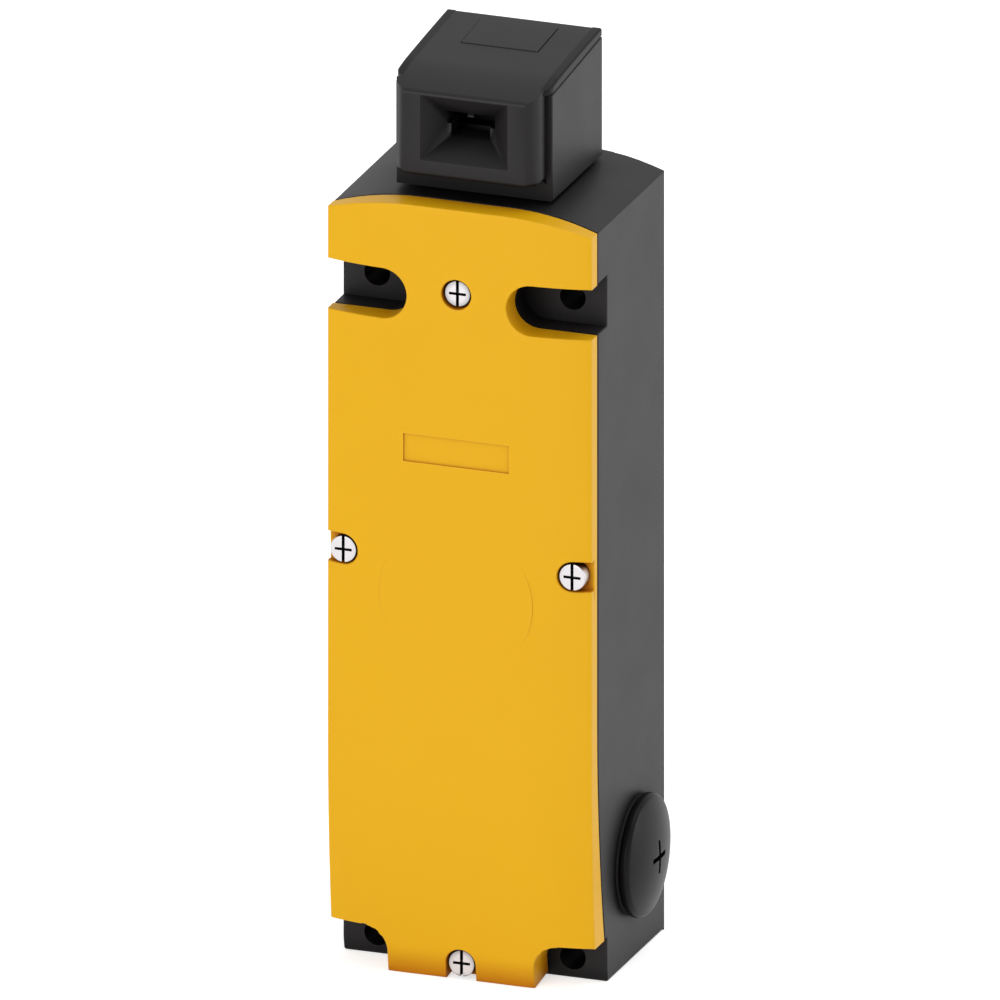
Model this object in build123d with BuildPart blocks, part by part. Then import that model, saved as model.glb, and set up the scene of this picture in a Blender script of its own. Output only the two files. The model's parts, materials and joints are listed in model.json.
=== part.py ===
from build123d import *
import os
from math import cos, radians, sin

# Tongue interlock switch with solenoid locking.
# X runs to the right, Y from the front (cover) to the back, Z up. The origin is on the underside,
# in the middle of the width and the depth.

os.makedirs("parts", exist_ok=True)

# Housing and cover
body_width = 54.0
body_height = 158.3
depth = 43.5
top_flat_half = 9.0
shoulder_drop = 3.1
cover_skirt = 5.6
cover_flat_half = 12.3
cover_side_drop = 1.93
cover_wall = 2.2
lower_curve_top = 55.0
lower_curve_back = 4.0
lower_lip_back = 5.6
cover_curve_top = 46.0
cover_curve_back = 2.9
ear_drop = 10.7
ear_half = 15.0
ear_height = 9.2
ear_corner_r = 5.0
wall = 2.5
ceiling_thickness = 5.3
corner_r = 0.8

# Mounting holes and the recesses around them
mount_spacing_x = 40.0
mount_top_inset = 18.8
mount_low_z = 4.5
mount_hole_r = 2.65
mount_boss_r = 4.75
slot_inner_x = 10.2
slot_r = 5.1
bridge_web = 6.5

# Cover screws
screw_head_r = 2.7
screw_head_height = 2.7
screw_shank_r = 1.5
screw_length = 9.0
screw_gap = 0.12
screw_well_gap = 0.3
screw_boss_r = 3.0
screw_bottom = 0.3
side_screw_inset = 3.6
side_screw_z = 85.85
top_screw_inset = 17.3
low_screw_z = 3.3
top_screw_sink = 0.8
side_screw_sink = 0.9
low_screw_sink = 3.1

# Marks on the cover
panel_half_width = 10.8
panel_low_z = 105.8
panel_high_z = 111.5
panel_depth = 0.3
disc_r = 15.6
disc_z = 78.85
disc_thickness = 1.2

# Gasket
gasket_thickness = 0.5
gasket_inset = 0.35

# Cable entries, M20 x 1.5
entry_r = 9.25
entry_wall = 2.5
entry_length = 8.0
entry_y = 5.65
entry_z = 20.7
thread_gap = 0.1
plug_flange_r = 12.2
plug_rim = 2.1
plug_dome = 2.2
plug_stub = 7.0
seal_thickness = 0.5
seal_outer_r = 11.8
cross_length = 6.8
cross_width = 1.0
cross_depth = 1.5

# Head. Drops count down from the back edge of its roof
head_half_width = 16.0
head_front_y = -11.5
head_back_y = 16.65
head_height = 26.2
head_side_front_drop = 4.2
head_side_back_drop = 1.65
head_gap = 0.3
head_wall = 2.3
head_roof = 6.5
head_axis_y = 2.55
hood_half_width = 14.6
nose_front_y = -17.45
nose_rise = 4.5
nose_high_drop = 5.3
nose_corner = 2.2
roof_break_y = -6.0
roof_break_drop = 1.9
roof_front_y = -16.7
roof_front_drop = 4.15
roof_slope = 4.0

# Funnel and tongue slot
funnel_width = 17.9
funnel_height = 13.3
funnel_depth = 4.0
slot_width = 9.9
slot_height = 5.1
slot_low_width = 8.0
slot_step = 2.5
slot_ridge_width = 1.2
slot_ridge_height = 0.7
slot_rise = 4.75

# Closed tongue slot in the roof
lid_half_width = 8.0
lid_front_y = 2.45
lid_back_y = 14.0
lid_depth = 3.3
lid_gap = 0.15
lid_leg = 1.2

# Turntable
turret_r = 12.0
turret_gap = 0.06
turret_lip = 1.1
collar_plate = 2.4
collar_gap = 0.1
collar_window = 6.4
ring_section = 0.5
ring_depth = 2.0
retainer_thickness = 1.0
retainer_outer_r = 14.0
retainer_groove = 0.9
retainer_gap = 0.3

# Cam wheel
cam_rise = 9.7
cam_r = 8.0
cam_half_width = 5.5
cam_angle = 75.0
cam_hub_r = 3.6
cam_side_gap = 0.3
axle_r = 2.0
axle_gap = 0.05
axle_seat = 1.2
notch_floor = 4.5
notch_length = 6.0

# Plunger
plunger_travel = 3.5
plunger_tip_gap = 0.45
plunger_tip_r = 1.5
plunger_cone = 1.6
plunger_r = 2.5
plunger_rod_r = 2.0
plunger_gap = 0.06
plunger_bore_gap = 1.0
plunger_foot = 0.5
spring_flange_r = 4.2
spring_flange = 1.4
spring_flange_drop = 8.4

# Lock
lock_travel = 4.0
lock_drop = 24.0
lock_plate = 1.4
lock_gap = 0.35
lock_collar_r = 4.5
lock_collar = 1.4
fork_slot_half = 2.45
fork_half_width = 6.0
fork_clear = 0.4
lock_arm_gap = 0.9
lock_arm_half = 5.0
lock_arm_low_z = 71.6
rivet_r = 2.0
rivet_head_r = 3.0
rivet_head = 0.7

# Mechanism frame
frame_half_width = 13.0
frame_back = 2.4
frame_height = 39.0
frame_top_gap = 3.0
upper_arm = 3.0
middle_arm = 4.0
lower_arm_rise = 7.2
lower_arm = 4.0
arm_half_width = 8.0
arm_reach = 6.2

# Solenoid, its axis along X
coil_z = 90.0
coil_half = 12.0
bobbin_wall = 0.8
flange_half = 9.8
flange_thickness = 1.2
winding_r = 9.2
yoke_plate = 2.2
yoke_half_height = 10.2
yoke_gap = 0.3
yoke_tab = 6.0
yoke_strip_gap = 1.1
armature_r = 4.6
armature_gap = 0.06
armature_inner_x = 1.0
stop_gap = 0.4
blade_thickness = 0.8
blade_width = 4.0
blade_length = 6.0
coil_blade_gap = 4.5
coil_blade_cover_gap = 3.75
post_r = 3.4

# Main contacts
carrier_half_width = 3.6
carrier_strip_half = 5.0
carrier_strip = 2.0
carrier_run_gap = 1.45
carrier_depth = 9.8
carrier_low_z = 39.0
carrier_block_high_z = 62.0
carrier_plate = 3.0
carrier_plate_drop = 0.5
window_height = 6.5
window_inset = 5.1
window_half = 2.4
window_tops = (48.5, 59.5)
bridge_end_gap = 1.0
bridge_half_width = 2.1
bridge_thickness = 0.8
contact_tip_r = 1.5
contact_tip = 0.5
contact_gap = 0.3
strip_thickness = 0.8
strip_half_width = 2.2
strip_overlap = 4.0
block_low_z = 36.0
block_high_z = 67.5
block_tower_inset = 5.0
block_side_gap = 0.7
block_front_y = -3.0
block_back = 2.4
terminal_inset = 4.8
terminal_half = 3.4
terminal_head_r = 2.8
terminal_head_height = 2.2
terminal_shank_r = 1.6
terminal_length = 6.0
drive_width = 0.7
drive_depth = 0.9
part_gap = 0.1

# Screws that hold the mechanism
fixing_length = 4.0
fixing_x = 10.0
block_fixing_gap = 1.2
block_fixing_z = 42.0
frame_fixing_rise = 4.5

# Lock switch
switch_left_x = -15.8
switch_right_x = -6.2
switch_low_z = 70.5
switch_high_z = 78.6
switch_front_y = -6.0
switch_back_y = 8.0
button_r = 1.6
button_inside = 3.5
switch_blades = (-13.4, -11.0, -8.6)

# Earth terminal
earth_z = 26.0
earth_post_y = 8.0
earth_post_r = 4.2
clamp_half = 4.0
clamp_thickness = 1.2

# Springs
plunger_spring_r = 3.1
plunger_wire_r = 0.35
plunger_turns = 5
lock_spring_r = 5.5
lock_wire_r = 0.35
lock_turns = 3
contact_spring_r = 1.5
contact_wire_r = 0.25
contact_turns = 4
spring_seat_gap = 0.1

# Worked-out places
half_width = body_width / 2
front_y = -depth / 2
back_y = depth / 2
parting_y = front_y + cover_skirt
ear_y = front_y + ear_drop
recess_back_y = ear_y + wall
inner_back_y = back_y - wall
shoulder_z = body_height - shoulder_drop
ceiling_z = body_height - ceiling_thickness
mount_x = mount_spacing_x / 2
mount_high_z = body_height - mount_top_inset
mount_zs = (mount_low_z, mount_high_z)
side_screw_x = half_width - side_screw_inset
top_screw_z = body_height - top_screw_inset
head_low_z = body_height + head_gap
head_back_z = body_height + head_height
head_side_front_z = head_back_z - head_side_front_drop
head_side_back_z = head_back_z - head_side_back_drop
nose_low_z = body_height + nose_rise
nose_high_z = head_back_z - nose_high_drop
roof_break_z = head_back_z - roof_break_drop
roof_front_z = head_back_z - roof_front_drop
lid_floor_z = head_back_z - lid_depth
cavity_half = head_half_width - head_wall
cavity_front_y = head_front_y + head_wall
cavity_back_y = head_back_y - head_wall
cavity_top_z = head_back_z - head_roof
cam_z = body_height + cam_rise
cam_drop = plunger_travel / radians(cam_angle)
slot_z = cam_z + slot_rise
tip_z = cam_z - cam_r - plunger_tip_gap
frame_high_z = ceiling_z - frame_top_gap
frame_low_z = frame_high_z - frame_height
frame_fixing_z = frame_low_z + frame_fixing_rise
lower_arm_z = frame_low_z + lower_arm_rise
spring_flange_z = frame_high_z - spring_flange_drop
carrier_plate_z = frame_low_z - carrier_plate_drop
plunger_low_z = carrier_plate_z - plunger_foot
lock_z = frame_high_z - lock_drop
lock_collar_z = lock_z - lock_gap - lock_collar
middle_arm_z = lock_z + plunger_travel
fork_tip_x = -lock_collar_r - fork_clear
lock_arm_x = wall + lock_arm_gap - half_width
arm_right_x = lock_arm_x + lock_plate
frame_front_y = inner_back_y - frame_back
block_outer_x = half_width - wall - block_side_gap
terminal_x = block_outer_x - terminal_inset
block_inner_x = terminal_x - block_tower_inset
block_fixing_x = block_inner_x - terminal_head_r - block_fixing_gap
bridge_half_length = block_inner_x - bridge_end_gap
strip_inner_x = bridge_half_length - strip_overlap
carrier_back_y = inner_back_y - block_back - carrier_run_gap
carrier_front_y = carrier_back_y - carrier_depth
window_y = carrier_back_y - window_inset
coil_y = carrier_back_y - carrier_strip - yoke_strip_gap - yoke_plate - yoke_gap - flange_half
coil_blade_front_y = front_y + cover_wall + coil_blade_cover_gap
yoke_inner = coil_half + yoke_gap
yoke_outer = yoke_inner + yoke_plate
yoke_front_y = coil_y + flange_half + yoke_gap
yoke_back_y = yoke_front_y + yoke_plate
tab_x = yoke_outer + yoke_tab / 2
retainer_high_z = ceiling_z - retainer_gap
retainer_low_z = retainer_high_z - retainer_thickness
turret_low_z = retainer_low_z - turret_lip
strip_rise = plunger_travel + contact_gap + contact_tip
entry_side_x = half_width - entry_length
screw_places = (
    (0, top_screw_z, top_screw_sink),
    (side_screw_x, side_screw_z, side_screw_sink),
    (-side_screw_x, side_screw_z, side_screw_sink),
    (0, low_screw_z, low_screw_sink),
)


UPRIGHT = (Align.CENTER, Align.CENTER, Align.MIN)
UPRIGHT_BACK = (Align.CENTER, Align.CENTER, Align.MAX)


def facing_front(y):
    """A plane across the switch at depth y, seen from the front: local x is X, local y is Z."""
    return Plane.XZ.offset(-y)


def facing_side(side, x, y, z):
    """A plane at one point that looks out to the left (side -1) or to the right (side 1)."""
    return Plane(origin=(x, y, z), x_dir=(0, 1, 0), z_dir=(side, 0, 0))


def box_between(low, high):
    """A plain block between two corners."""
    size = [b - a for a, b in zip(low, high)]
    middle = Vector(*[(a + b) / 2 for a, b in zip(low, high)])
    with Locations(middle):
        Box(*size)


def cut_between(low, high):
    """The same block, cut away."""
    size = [b - a for a, b in zip(low, high)]
    middle = Vector(*[(a + b) / 2 for a, b in zip(low, high)])
    with Locations(middle):
        Box(*size, mode=Mode.SUBTRACT)


def cylinder_screw(seat, head_r, head_height, shank_r, length):
    """A cylinder-head screw that faces the front, with a slot and a cross in its head."""
    x, y, z = seat
    with BuildSketch(facing_front(y)) as shank:
        with Locations((x, z)):
            Circle(shank_r)
    with BuildSketch(facing_front(y)) as head:
        with Locations((x, z)):
            Circle(head_r)
    with BuildSketch(facing_front(y - head_height)) as drive:
        with Locations((x, z)):
            Rectangle(drive_width, 2 * head_r)
            Rectangle(head_r, drive_width)
    extrude(shank.sketch, amount=-length)
    extrude(head.sketch, amount=head_height)
    extrude(drive.sketch, amount=-drive_depth, mode=Mode.SUBTRACT)


def helical_spring(mean_r, wire_r, length, turns):
    """A compression spring that stands on the XY plane."""
    pitch = (length - 2 * wire_r) / turns
    with BuildPart() as coil:
        with BuildLine() as path:
            Helix(pitch=pitch, height=pitch * turns, radius=mean_r, center=(0, 0, wire_r))
        with BuildSketch(path.line ^ 0):
            RegularPolygon(wire_r, 6)
        sweep(path=path.line, is_frenet=True)
    return coil.part


# The front outline of housing and cover: straight sides and an arched top
with BuildSketch() as body_outline:
    with BuildLine():
        Line((0, body_height), (top_flat_half, body_height))
        TangentArc((top_flat_half, body_height), (half_width, shoulder_z), tangent=(1, 0))
        Line((half_width, shoulder_z), (half_width, 0))
        Line((half_width, 0), (0, 0))
        mirror(about=Plane.YZ)
    make_face()

# The recesses at the upper mounting holes, open to the sides
slot_centre_x = slot_inner_x + slot_r
with BuildSketch() as mount_slots:
    for side in (-1, 1):
        with Locations((side * slot_centre_x, mount_high_z)):
            Circle(slot_r)
        with Locations((side * (slot_centre_x + half_width + 1) / 2, mount_high_z)):
            Rectangle(half_width + 1 - slot_centre_x, 2 * slot_r)

# The corners that the cover leaves free at the lower mounting holes
with BuildSketch() as ear_corners:
    for side in (-1, 1):
        with Locations((side * (ear_half + half_width) / 2, ear_height / 2)):
            Rectangle(half_width - ear_half, ear_height)
    upper = vertices().group_by(Axis.Y)[-1].sort_by(Axis.X)
    fillet(upper[1:-1], radius=ear_corner_r)

# What is left of the front when recesses and corners are gone
with BuildSketch() as cover_outline:
    add(body_outline.sketch)
    add(mount_slots.sketch, mode=Mode.SUBTRACT)
    add(ear_corners.sketch, mode=Mode.SUBTRACT)

# The same, a wall further in, with the screw bosses left standing
with BuildSketch() as inner_outline:
    add(cover_outline.sketch)
    offset(amount=-wall, kind=Kind.INTERSECTION, mode=Mode.REPLACE)
    with Locations((0, (ceiling_z + body_height) / 2)):
        Rectangle(body_width, body_height - ceiling_z, mode=Mode.SUBTRACT)
    for x, z, sink in screw_places:
        with Locations((x, z)):
            Circle(screw_boss_r, mode=Mode.SUBTRACT)
    with Locations((0, mount_high_z)):
        Rectangle(2 * slot_inner_x, bridge_web, mode=Mode.SUBTRACT)


def parting_line(shift):
    """The parting line of the side view, moved forward by shift, from the top to the bottom."""
    Line((parting_y - shift, body_height), (parting_y - shift, lower_curve_top))
    swept = TangentArc(
        (parting_y - shift, lower_curve_top),
        (parting_y + lower_curve_back - shift, ear_height),
        tangent=(0, -1),
    )
    Line(swept @ 1, (parting_y + lower_lip_back - shift, 0))


# Side view of the housing, behind the parting line
with BuildSketch(Plane.YZ) as body_side:
    with BuildLine():
        parting_line(0)
        Line((parting_y + lower_lip_back, 0), (back_y, 0))
        Line((back_y, 0), (back_y, body_height))
        Line((back_y, body_height), (parting_y, body_height))
    make_face()

# Side view of the gasket, a thin band in front of the parting line
with BuildSketch(Plane.YZ) as gasket_side:
    with BuildLine():
        parting_line(0)
        parting_line(gasket_thickness)
        Line((parting_y, body_height), (parting_y - gasket_thickness, body_height))
        Line((parting_y + lower_lip_back, 0), (parting_y + lower_lip_back - gasket_thickness, 0))
    make_face()

# Side view of all that lies in front of the gasket
with BuildSketch(Plane.YZ) as cover_side:
    with BuildLine():
        parting_line(gasket_thickness)
        Line((parting_y + lower_lip_back - gasket_thickness, 0), (front_y - 1, 0))
        Line((front_y - 1, 0), (front_y - 1, body_height))
        Line((front_y - 1, body_height), (parting_y - gasket_thickness, body_height))
    make_face()

# Black housing
low_boss_y = entry_y - entry_r - entry_wall + 1
with BuildPart() as base_housing:
    with BuildSketch(facing_front(back_y)):
        add(body_outline.sketch)
    extrude(amount=depth)
    extrude(body_side.sketch, amount=half_width, both=True, mode=Mode.INTERSECT)
    fillet(base_housing.faces().sort_by(Axis.Y)[-1].edges(), radius=corner_r)
    # Recesses and free corners at the mounting holes
    with BuildSketch(facing_front(ear_y)):
        add(mount_slots.sketch)
        add(ear_corners.sketch)
    extrude(amount=depth, mode=Mode.SUBTRACT)
    # The inside: a front part around the recesses and a deep part behind them
    with BuildSketch(facing_front(recess_back_y)):
        add(inner_outline.sketch)
    extrude(amount=depth, mode=Mode.SUBTRACT)
    with BuildSketch(facing_front(inner_back_y)):
        with Locations((0, (wall + ceiling_z) / 2)):
            Rectangle(body_width - 2 * wall, ceiling_z - wall)
        for z in mount_zs:
            for side in (-1, 1):
                with Locations((side * mount_x, z)):
                    Circle(mount_boss_r, mode=Mode.SUBTRACT)
    extrude(amount=inner_back_y - recess_back_y, mode=Mode.SUBTRACT)
    # Boss of the lowest cover screw
    with Locations(facing_front(recess_back_y) * Pos(0, low_screw_z)):
        Cylinder(screw_boss_r, low_boss_y - recess_back_y, align=UPRIGHT_BACK)
    # Bosses and bores of the cable entries, in both sides and in the bottom
    for side in (-1, 1):
        with Locations(facing_side(side, side * entry_side_x, entry_y, entry_z)):
            Cylinder(entry_r + entry_wall, entry_length - wall / 2, align=UPRIGHT)
    with Locations((0, entry_y, wall / 2)):
        Cylinder(entry_r + entry_wall, entry_length - wall / 2, align=UPRIGHT)
    for side in (-1, 1):
        with Locations(facing_side(side, side * (entry_side_x - 1), entry_y, entry_z)):
            Cylinder(entry_r, entry_length + 2, align=UPRIGHT, mode=Mode.SUBTRACT)
    with Locations((0, entry_y, -1)):
        Cylinder(entry_r, entry_length + 2, align=UPRIGHT, mode=Mode.SUBTRACT)
    # Posts for the solenoid, the lock switch and the earth terminal
    for side in (-1, 1):
        with Locations(facing_front(inner_back_y + wall / 2) * Pos(side * tab_x, coil_z)):
            Cylinder(post_r, inner_back_y + wall / 2 - yoke_back_y, align=UPRIGHT)
    box_between(
        (switch_left_x, switch_back_y, switch_low_z),
        (switch_right_x, inner_back_y + wall / 2, switch_high_z),
    )
    with Locations(facing_front(inner_back_y + wall / 2) * Pos(0, earth_z)):
        Cylinder(earth_post_r, inner_back_y + wall / 2 - earth_post_y, align=UPRIGHT)
    # Mounting holes, turntable bearing and screw holes
    with BuildSketch(facing_front(back_y + 1)):
        for z in mount_zs:
            for side in (-1, 1):
                with Locations((side * mount_x, z)):
                    Circle(mount_hole_r)
    extrude(amount=depth, mode=Mode.SUBTRACT)
    with BuildSketch(Plane.XY.offset(ceiling_z - 1)):
        with Locations((0, head_axis_y)):
            Circle(turret_r)
    extrude(amount=ceiling_thickness + 2, mode=Mode.SUBTRACT)
    for x, z, sink in screw_places:
        tip_y = front_y + sink + screw_head_height + screw_length
        with BuildSketch(facing_front(tip_y + screw_bottom)):
            with Locations((x, z)):
                Circle(screw_shank_r + screw_gap)
        extrude(amount=depth, mode=Mode.SUBTRACT)
    fixing_seats = (
        [(side * tab_x, yoke_front_y, coil_z) for side in (-1, 1)]
        + [(side * block_fixing_x, inner_back_y - block_back, block_fixing_z) for side in (-1, 1)]
        + [(side * fixing_x, frame_front_y, frame_fixing_z) for side in (-1, 1)]
    )
    for x, y, z in fixing_seats:
        with BuildSketch(facing_front(y + fixing_length + screw_bottom)):
            with Locations((x, z)):
                Circle(terminal_shank_r + screw_gap)
        extrude(amount=fixing_length, mode=Mode.SUBTRACT)
    with BuildSketch(facing_front(earth_post_y + fixing_length)):
        with Locations((0, earth_z)):
            Circle(terminal_shank_r + screw_gap)
    extrude(amount=fixing_length, mode=Mode.SUBTRACT)
base_housing.part.label = "base_housing"
export_step(base_housing.part, "parts/base_housing.step")

# Gasket between housing and cover
with BuildPart() as cover_gasket:
    with BuildSketch(facing_front(back_y)):
        add(cover_outline.sketch)
        offset(amount=-gasket_inset, kind=Kind.INTERSECTION, mode=Mode.REPLACE)
        add(inner_outline.sketch, mode=Mode.SUBTRACT)
        for x, z, sink in screw_places:
            with Locations((x, z)):
                Circle(screw_shank_r + screw_gap, mode=Mode.SUBTRACT)
    extrude(amount=depth)
    extrude(gasket_side.sketch, amount=half_width, both=True, mode=Mode.INTERSECT)
cover_gasket.part.label = "cover_gasket"
export_step(cover_gasket.part, "parts/cover_gasket.step")


def cover_form(inset):
    """The crowned front of the cover, swept down the front line, inset from the outer surface."""
    front = front_y + inset
    side = half_width - inset
    with BuildLine() as front_line:
        Line((0, front, body_height), (0, front, cover_curve_top))
        TangentArc(
            (0, front, cover_curve_top), (0, front + cover_curve_back, 0), tangent=(0, 0, -1)
        )
    with BuildPart() as form:
        with BuildSketch(Plane.XY.offset(body_height)):
            with BuildLine():
                Line((0, front), (cover_flat_half, front))
                TangentArc((cover_flat_half, front), (side, front + cover_side_drop), tangent=(1, 0))
                Line((side, front + cover_side_drop), (side, front + ear_drop + cover_curve_back))
                Line((side, front + ear_drop + cover_curve_back), (0, front + ear_drop + cover_curve_back))
                mirror(about=Plane.YZ)
            make_face()
        sweep(path=front_line.line)
    return form.part


# Yellow cover
cover_outside = cover_form(0)
cover_inside = cover_form(cover_wall)
with BuildPart() as front_cover:
    with BuildSketch(facing_front(back_y)):
        add(cover_outline.sketch)
    extrude(amount=depth + 1)
    add(cover_outside, mode=Mode.INTERSECT)
    extrude(cover_side.sketch, amount=half_width, both=True, mode=Mode.INTERSECT)
    # Hollow behind the front wall
    with BuildPart(mode=Mode.PRIVATE) as cover_hollow:
        with BuildSketch(facing_front(back_y)):
            add(inner_outline.sketch)
            for x, z, sink in screw_places:
                with Locations((x, z)):
                    Circle(screw_boss_r + cover_wall, mode=Mode.SUBTRACT)
        extrude(amount=depth + 1)
        add(cover_inside, mode=Mode.INTERSECT)
    add(cover_hollow.part, mode=Mode.SUBTRACT)
    # Round disc, level with the flat of the front
    with BuildSketch(facing_front(front_y + disc_thickness)):
        with Locations((0, disc_z)):
            Circle(disc_r)
    extrude(amount=disc_thickness)
    # Bare recessed panel
    with BuildSketch(facing_front(front_y + panel_depth)):
        with Locations((0, (panel_low_z + panel_high_z) / 2)):
            Rectangle(2 * panel_half_width, panel_high_z - panel_low_z)
    extrude(amount=panel_depth, mode=Mode.SUBTRACT)
    # Wells of the screws: round at the top, open to the sides and to the bottom elsewhere
    for x, z, sink in screw_places:
        seat_y = front_y + sink + screw_head_height
        well_r = screw_head_r + screw_well_gap
        with BuildSketch(facing_front(seat_y)):
            with Locations((x, z)):
                Circle(well_r)
            if x != 0:
                with Locations(((x + half_width * x / abs(x)) / 2, z)):
                    Rectangle(half_width - abs(x), 2 * well_r)
            if z == low_screw_z:
                with Locations((x, z / 2)):
                    Rectangle(2 * well_r, z)
        extrude(amount=depth, mode=Mode.SUBTRACT)
        with BuildSketch(facing_front(back_y)):
            with Locations((x, z)):
                Circle(screw_shank_r + screw_gap)
        extrude(amount=depth, mode=Mode.SUBTRACT)
front_cover.part.label = "front_cover"
export_step(front_cover.part, "parts/front_cover.step")

# Cover screws
with BuildPart() as cover_screws:
    for x, z, sink in screw_places:
        seat = (x, front_y + sink + screw_head_height, z)
        cylinder_screw(seat, screw_head_r, screw_head_height, screw_shank_r, screw_length)
cover_screws.part.label = "cover_screws"
export_step(cover_screws.part, "parts/cover_screws.step")

# Blanking plugs and their seals
for side, name in ((-1, "left"), (1, "right")):
    wall_x = side * half_width
    flange_x = wall_x + side * seal_thickness
    rim_x = flange_x + side * plug_rim
    with BuildPart() as blanking_plug:
        with BuildSketch(Plane.XY.offset(entry_z)):
            with BuildLine():
                Polyline(
                    (rim_x + side * plug_dome, entry_y),
                    (flange_x - side * (plug_stub + seal_thickness), entry_y),
                    (flange_x - side * (plug_stub + seal_thickness), entry_y + entry_r - thread_gap),
                    (flange_x, entry_y + entry_r - thread_gap),
                    (flange_x, entry_y + plug_flange_r),
                    (rim_x - side * 0.5, entry_y + plug_flange_r),
                )
                dome = TangentArc(
                    (rim_x + side * plug_dome, entry_y),
                    (rim_x, entry_y + plug_flange_r - 0.6),
                    tangent=(0, 1),
                )
                Line(dome @ 1, (rim_x - side * 0.5, entry_y + plug_flange_r))
            make_face()
        revolve(axis=Axis((0, entry_y, entry_z), (1, 0, 0)))
        with BuildSketch(Plane.YZ.offset(rim_x + side * (plug_dome - cross_depth))):
            with Locations((entry_y, entry_z)):
                Rectangle(cross_length, cross_width)
                Rectangle(cross_width, cross_length)
        extrude(amount=side * cross_depth * 2, mode=Mode.SUBTRACT)
    blanking_plug.part.label = "blanking_plug_" + name
    export_step(blanking_plug.part, "parts/blanking_plug_" + name + ".step")
    with BuildPart() as plug_seal:
        with BuildSketch(Plane.YZ.offset(wall_x)):
            with Locations((entry_y, entry_z)):
                Circle(seal_outer_r)
                Circle(entry_r, mode=Mode.SUBTRACT)
        extrude(amount=side * seal_thickness)
    plug_seal.part.label = "plug_seal_" + name
    export_step(plug_seal.part, "parts/plug_seal_" + name + ".step")


def roof_line():
    """The roof in side view, from the back edge forward and round into the nose."""
    back = TangentArc(
        (head_back_y, head_back_z),
        (roof_break_y, roof_break_z),
        tangent=(-cos(radians(roof_slope)), -sin(radians(roof_slope))),
    )
    front = TangentArc(back @ 1, (roof_front_y, roof_front_z), tangent=back % 1)
    TangentArc(front @ 1, (nose_front_y, nose_high_z), tangent=front % 1)


# Side view of the hood: roof and nose
with BuildSketch(Plane.YZ) as hood_side:
    with BuildLine():
        roof_line()
        Polyline(
            (nose_front_y, nose_high_z),
            (nose_front_y, nose_low_z),
            (head_back_y, nose_low_z),
            (head_back_y, head_back_z),
        )
    make_face()

# Head with nose, funnel and tongue slot
with BuildPart() as head_housing:
    extrude(hood_side.sketch, amount=hood_half_width, both=True)
    # Seen from above, the corners of the nose are cut back
    with BuildSketch(Plane.XY.offset(nose_low_z)):
        with Locations((0, (nose_front_y + head_back_y) / 2)):
            Rectangle(2 * hood_half_width, head_back_y - nose_front_y)
        chamfer(vertices().group_by(Axis.Y)[0], length=nose_corner)
    extrude(amount=head_back_z - nose_low_z + 1, mode=Mode.INTERSECT)
    with BuildSketch(Plane.YZ):
        with BuildLine():
            Polyline(
                (head_front_y, head_low_z),
                (head_front_y, head_side_front_z),
                (head_back_y, head_side_back_z),
                (head_back_y, head_low_z),
                close=True,
            )
        make_face()
    extrude(amount=head_half_width, both=True)
    cut_between(
        (-cavity_half, cavity_front_y, head_low_z - 1), (cavity_half, cavity_back_y, cavity_top_z)
    )
    # Funnel, then the stepped slot behind it
    with BuildSketch(facing_front(nose_front_y)):
        with Locations((0, slot_z)):
            Rectangle(funnel_width, funnel_height)
    with BuildSketch(facing_front(nose_front_y + funnel_depth)):
        with Locations((0, slot_z)):
            Rectangle(slot_width, slot_height)
    loft(mode=Mode.SUBTRACT)
    with BuildSketch(facing_front(cavity_front_y + 1)):
        with Locations((0, slot_z + slot_height / 2 - slot_step / 2)):
            Rectangle(slot_width, slot_step)
        with Locations((0, slot_z)):
            Rectangle(slot_low_width, slot_height)
        with Locations((0, slot_z + slot_height / 2 - slot_ridge_height / 2)):
            Rectangle(slot_ridge_width, slot_ridge_height, mode=Mode.SUBTRACT)
    extrude(amount=cavity_front_y + 1 - nose_front_y - funnel_depth, mode=Mode.SUBTRACT)
    # Recess of the roof lid and the second tongue slot below it
    cut_between(
        (-lid_half_width, lid_front_y, lid_floor_z), (lid_half_width, lid_back_y, head_back_z + 1)
    )
    top_slot_y = head_axis_y + slot_z - cam_z
    cut_between(
        (-slot_width / 2, top_slot_y - slot_height / 2, cavity_top_z - 1),
        (slot_width / 2, top_slot_y + slot_height / 2, lid_floor_z + 1),
    )
    # Seats of the axle
    with BuildSketch(Plane.YZ):
        with Locations((head_axis_y, cam_z)):
            Circle(axle_r + axle_gap)
    extrude(amount=cavity_half + axle_seat, both=True, mode=Mode.SUBTRACT)
head_housing.part.label = "head_housing"
export_step(head_housing.part, "parts/head_housing.step")

# Lid of the closed slot, flush with the roof, with two snap legs
with BuildPart() as top_slot_cover:
    extrude(hood_side.sketch, amount=lid_half_width - lid_gap, both=True)
    with BuildSketch(Plane.XY.offset(lid_floor_z)):
        with Locations((0, (lid_front_y + lid_back_y) / 2)):
            Rectangle(body_width, lid_back_y - lid_front_y - 2 * lid_gap)
    extrude(amount=head_roof, mode=Mode.INTERSECT)
    for side in (-1, 1):
        leg_y = top_slot_y + side * (slot_height - lid_leg - 2 * lid_gap) / 2
        box_between(
            (-slot_low_width / 2, leg_y - lid_leg / 2, cavity_top_z),
            (slot_low_width / 2, leg_y + lid_leg / 2, lid_floor_z + 0.5),
        )
top_slot_cover.part.label = "top_slot_cover"
export_step(top_slot_cover.part, "parts/top_slot_cover.step")

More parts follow.
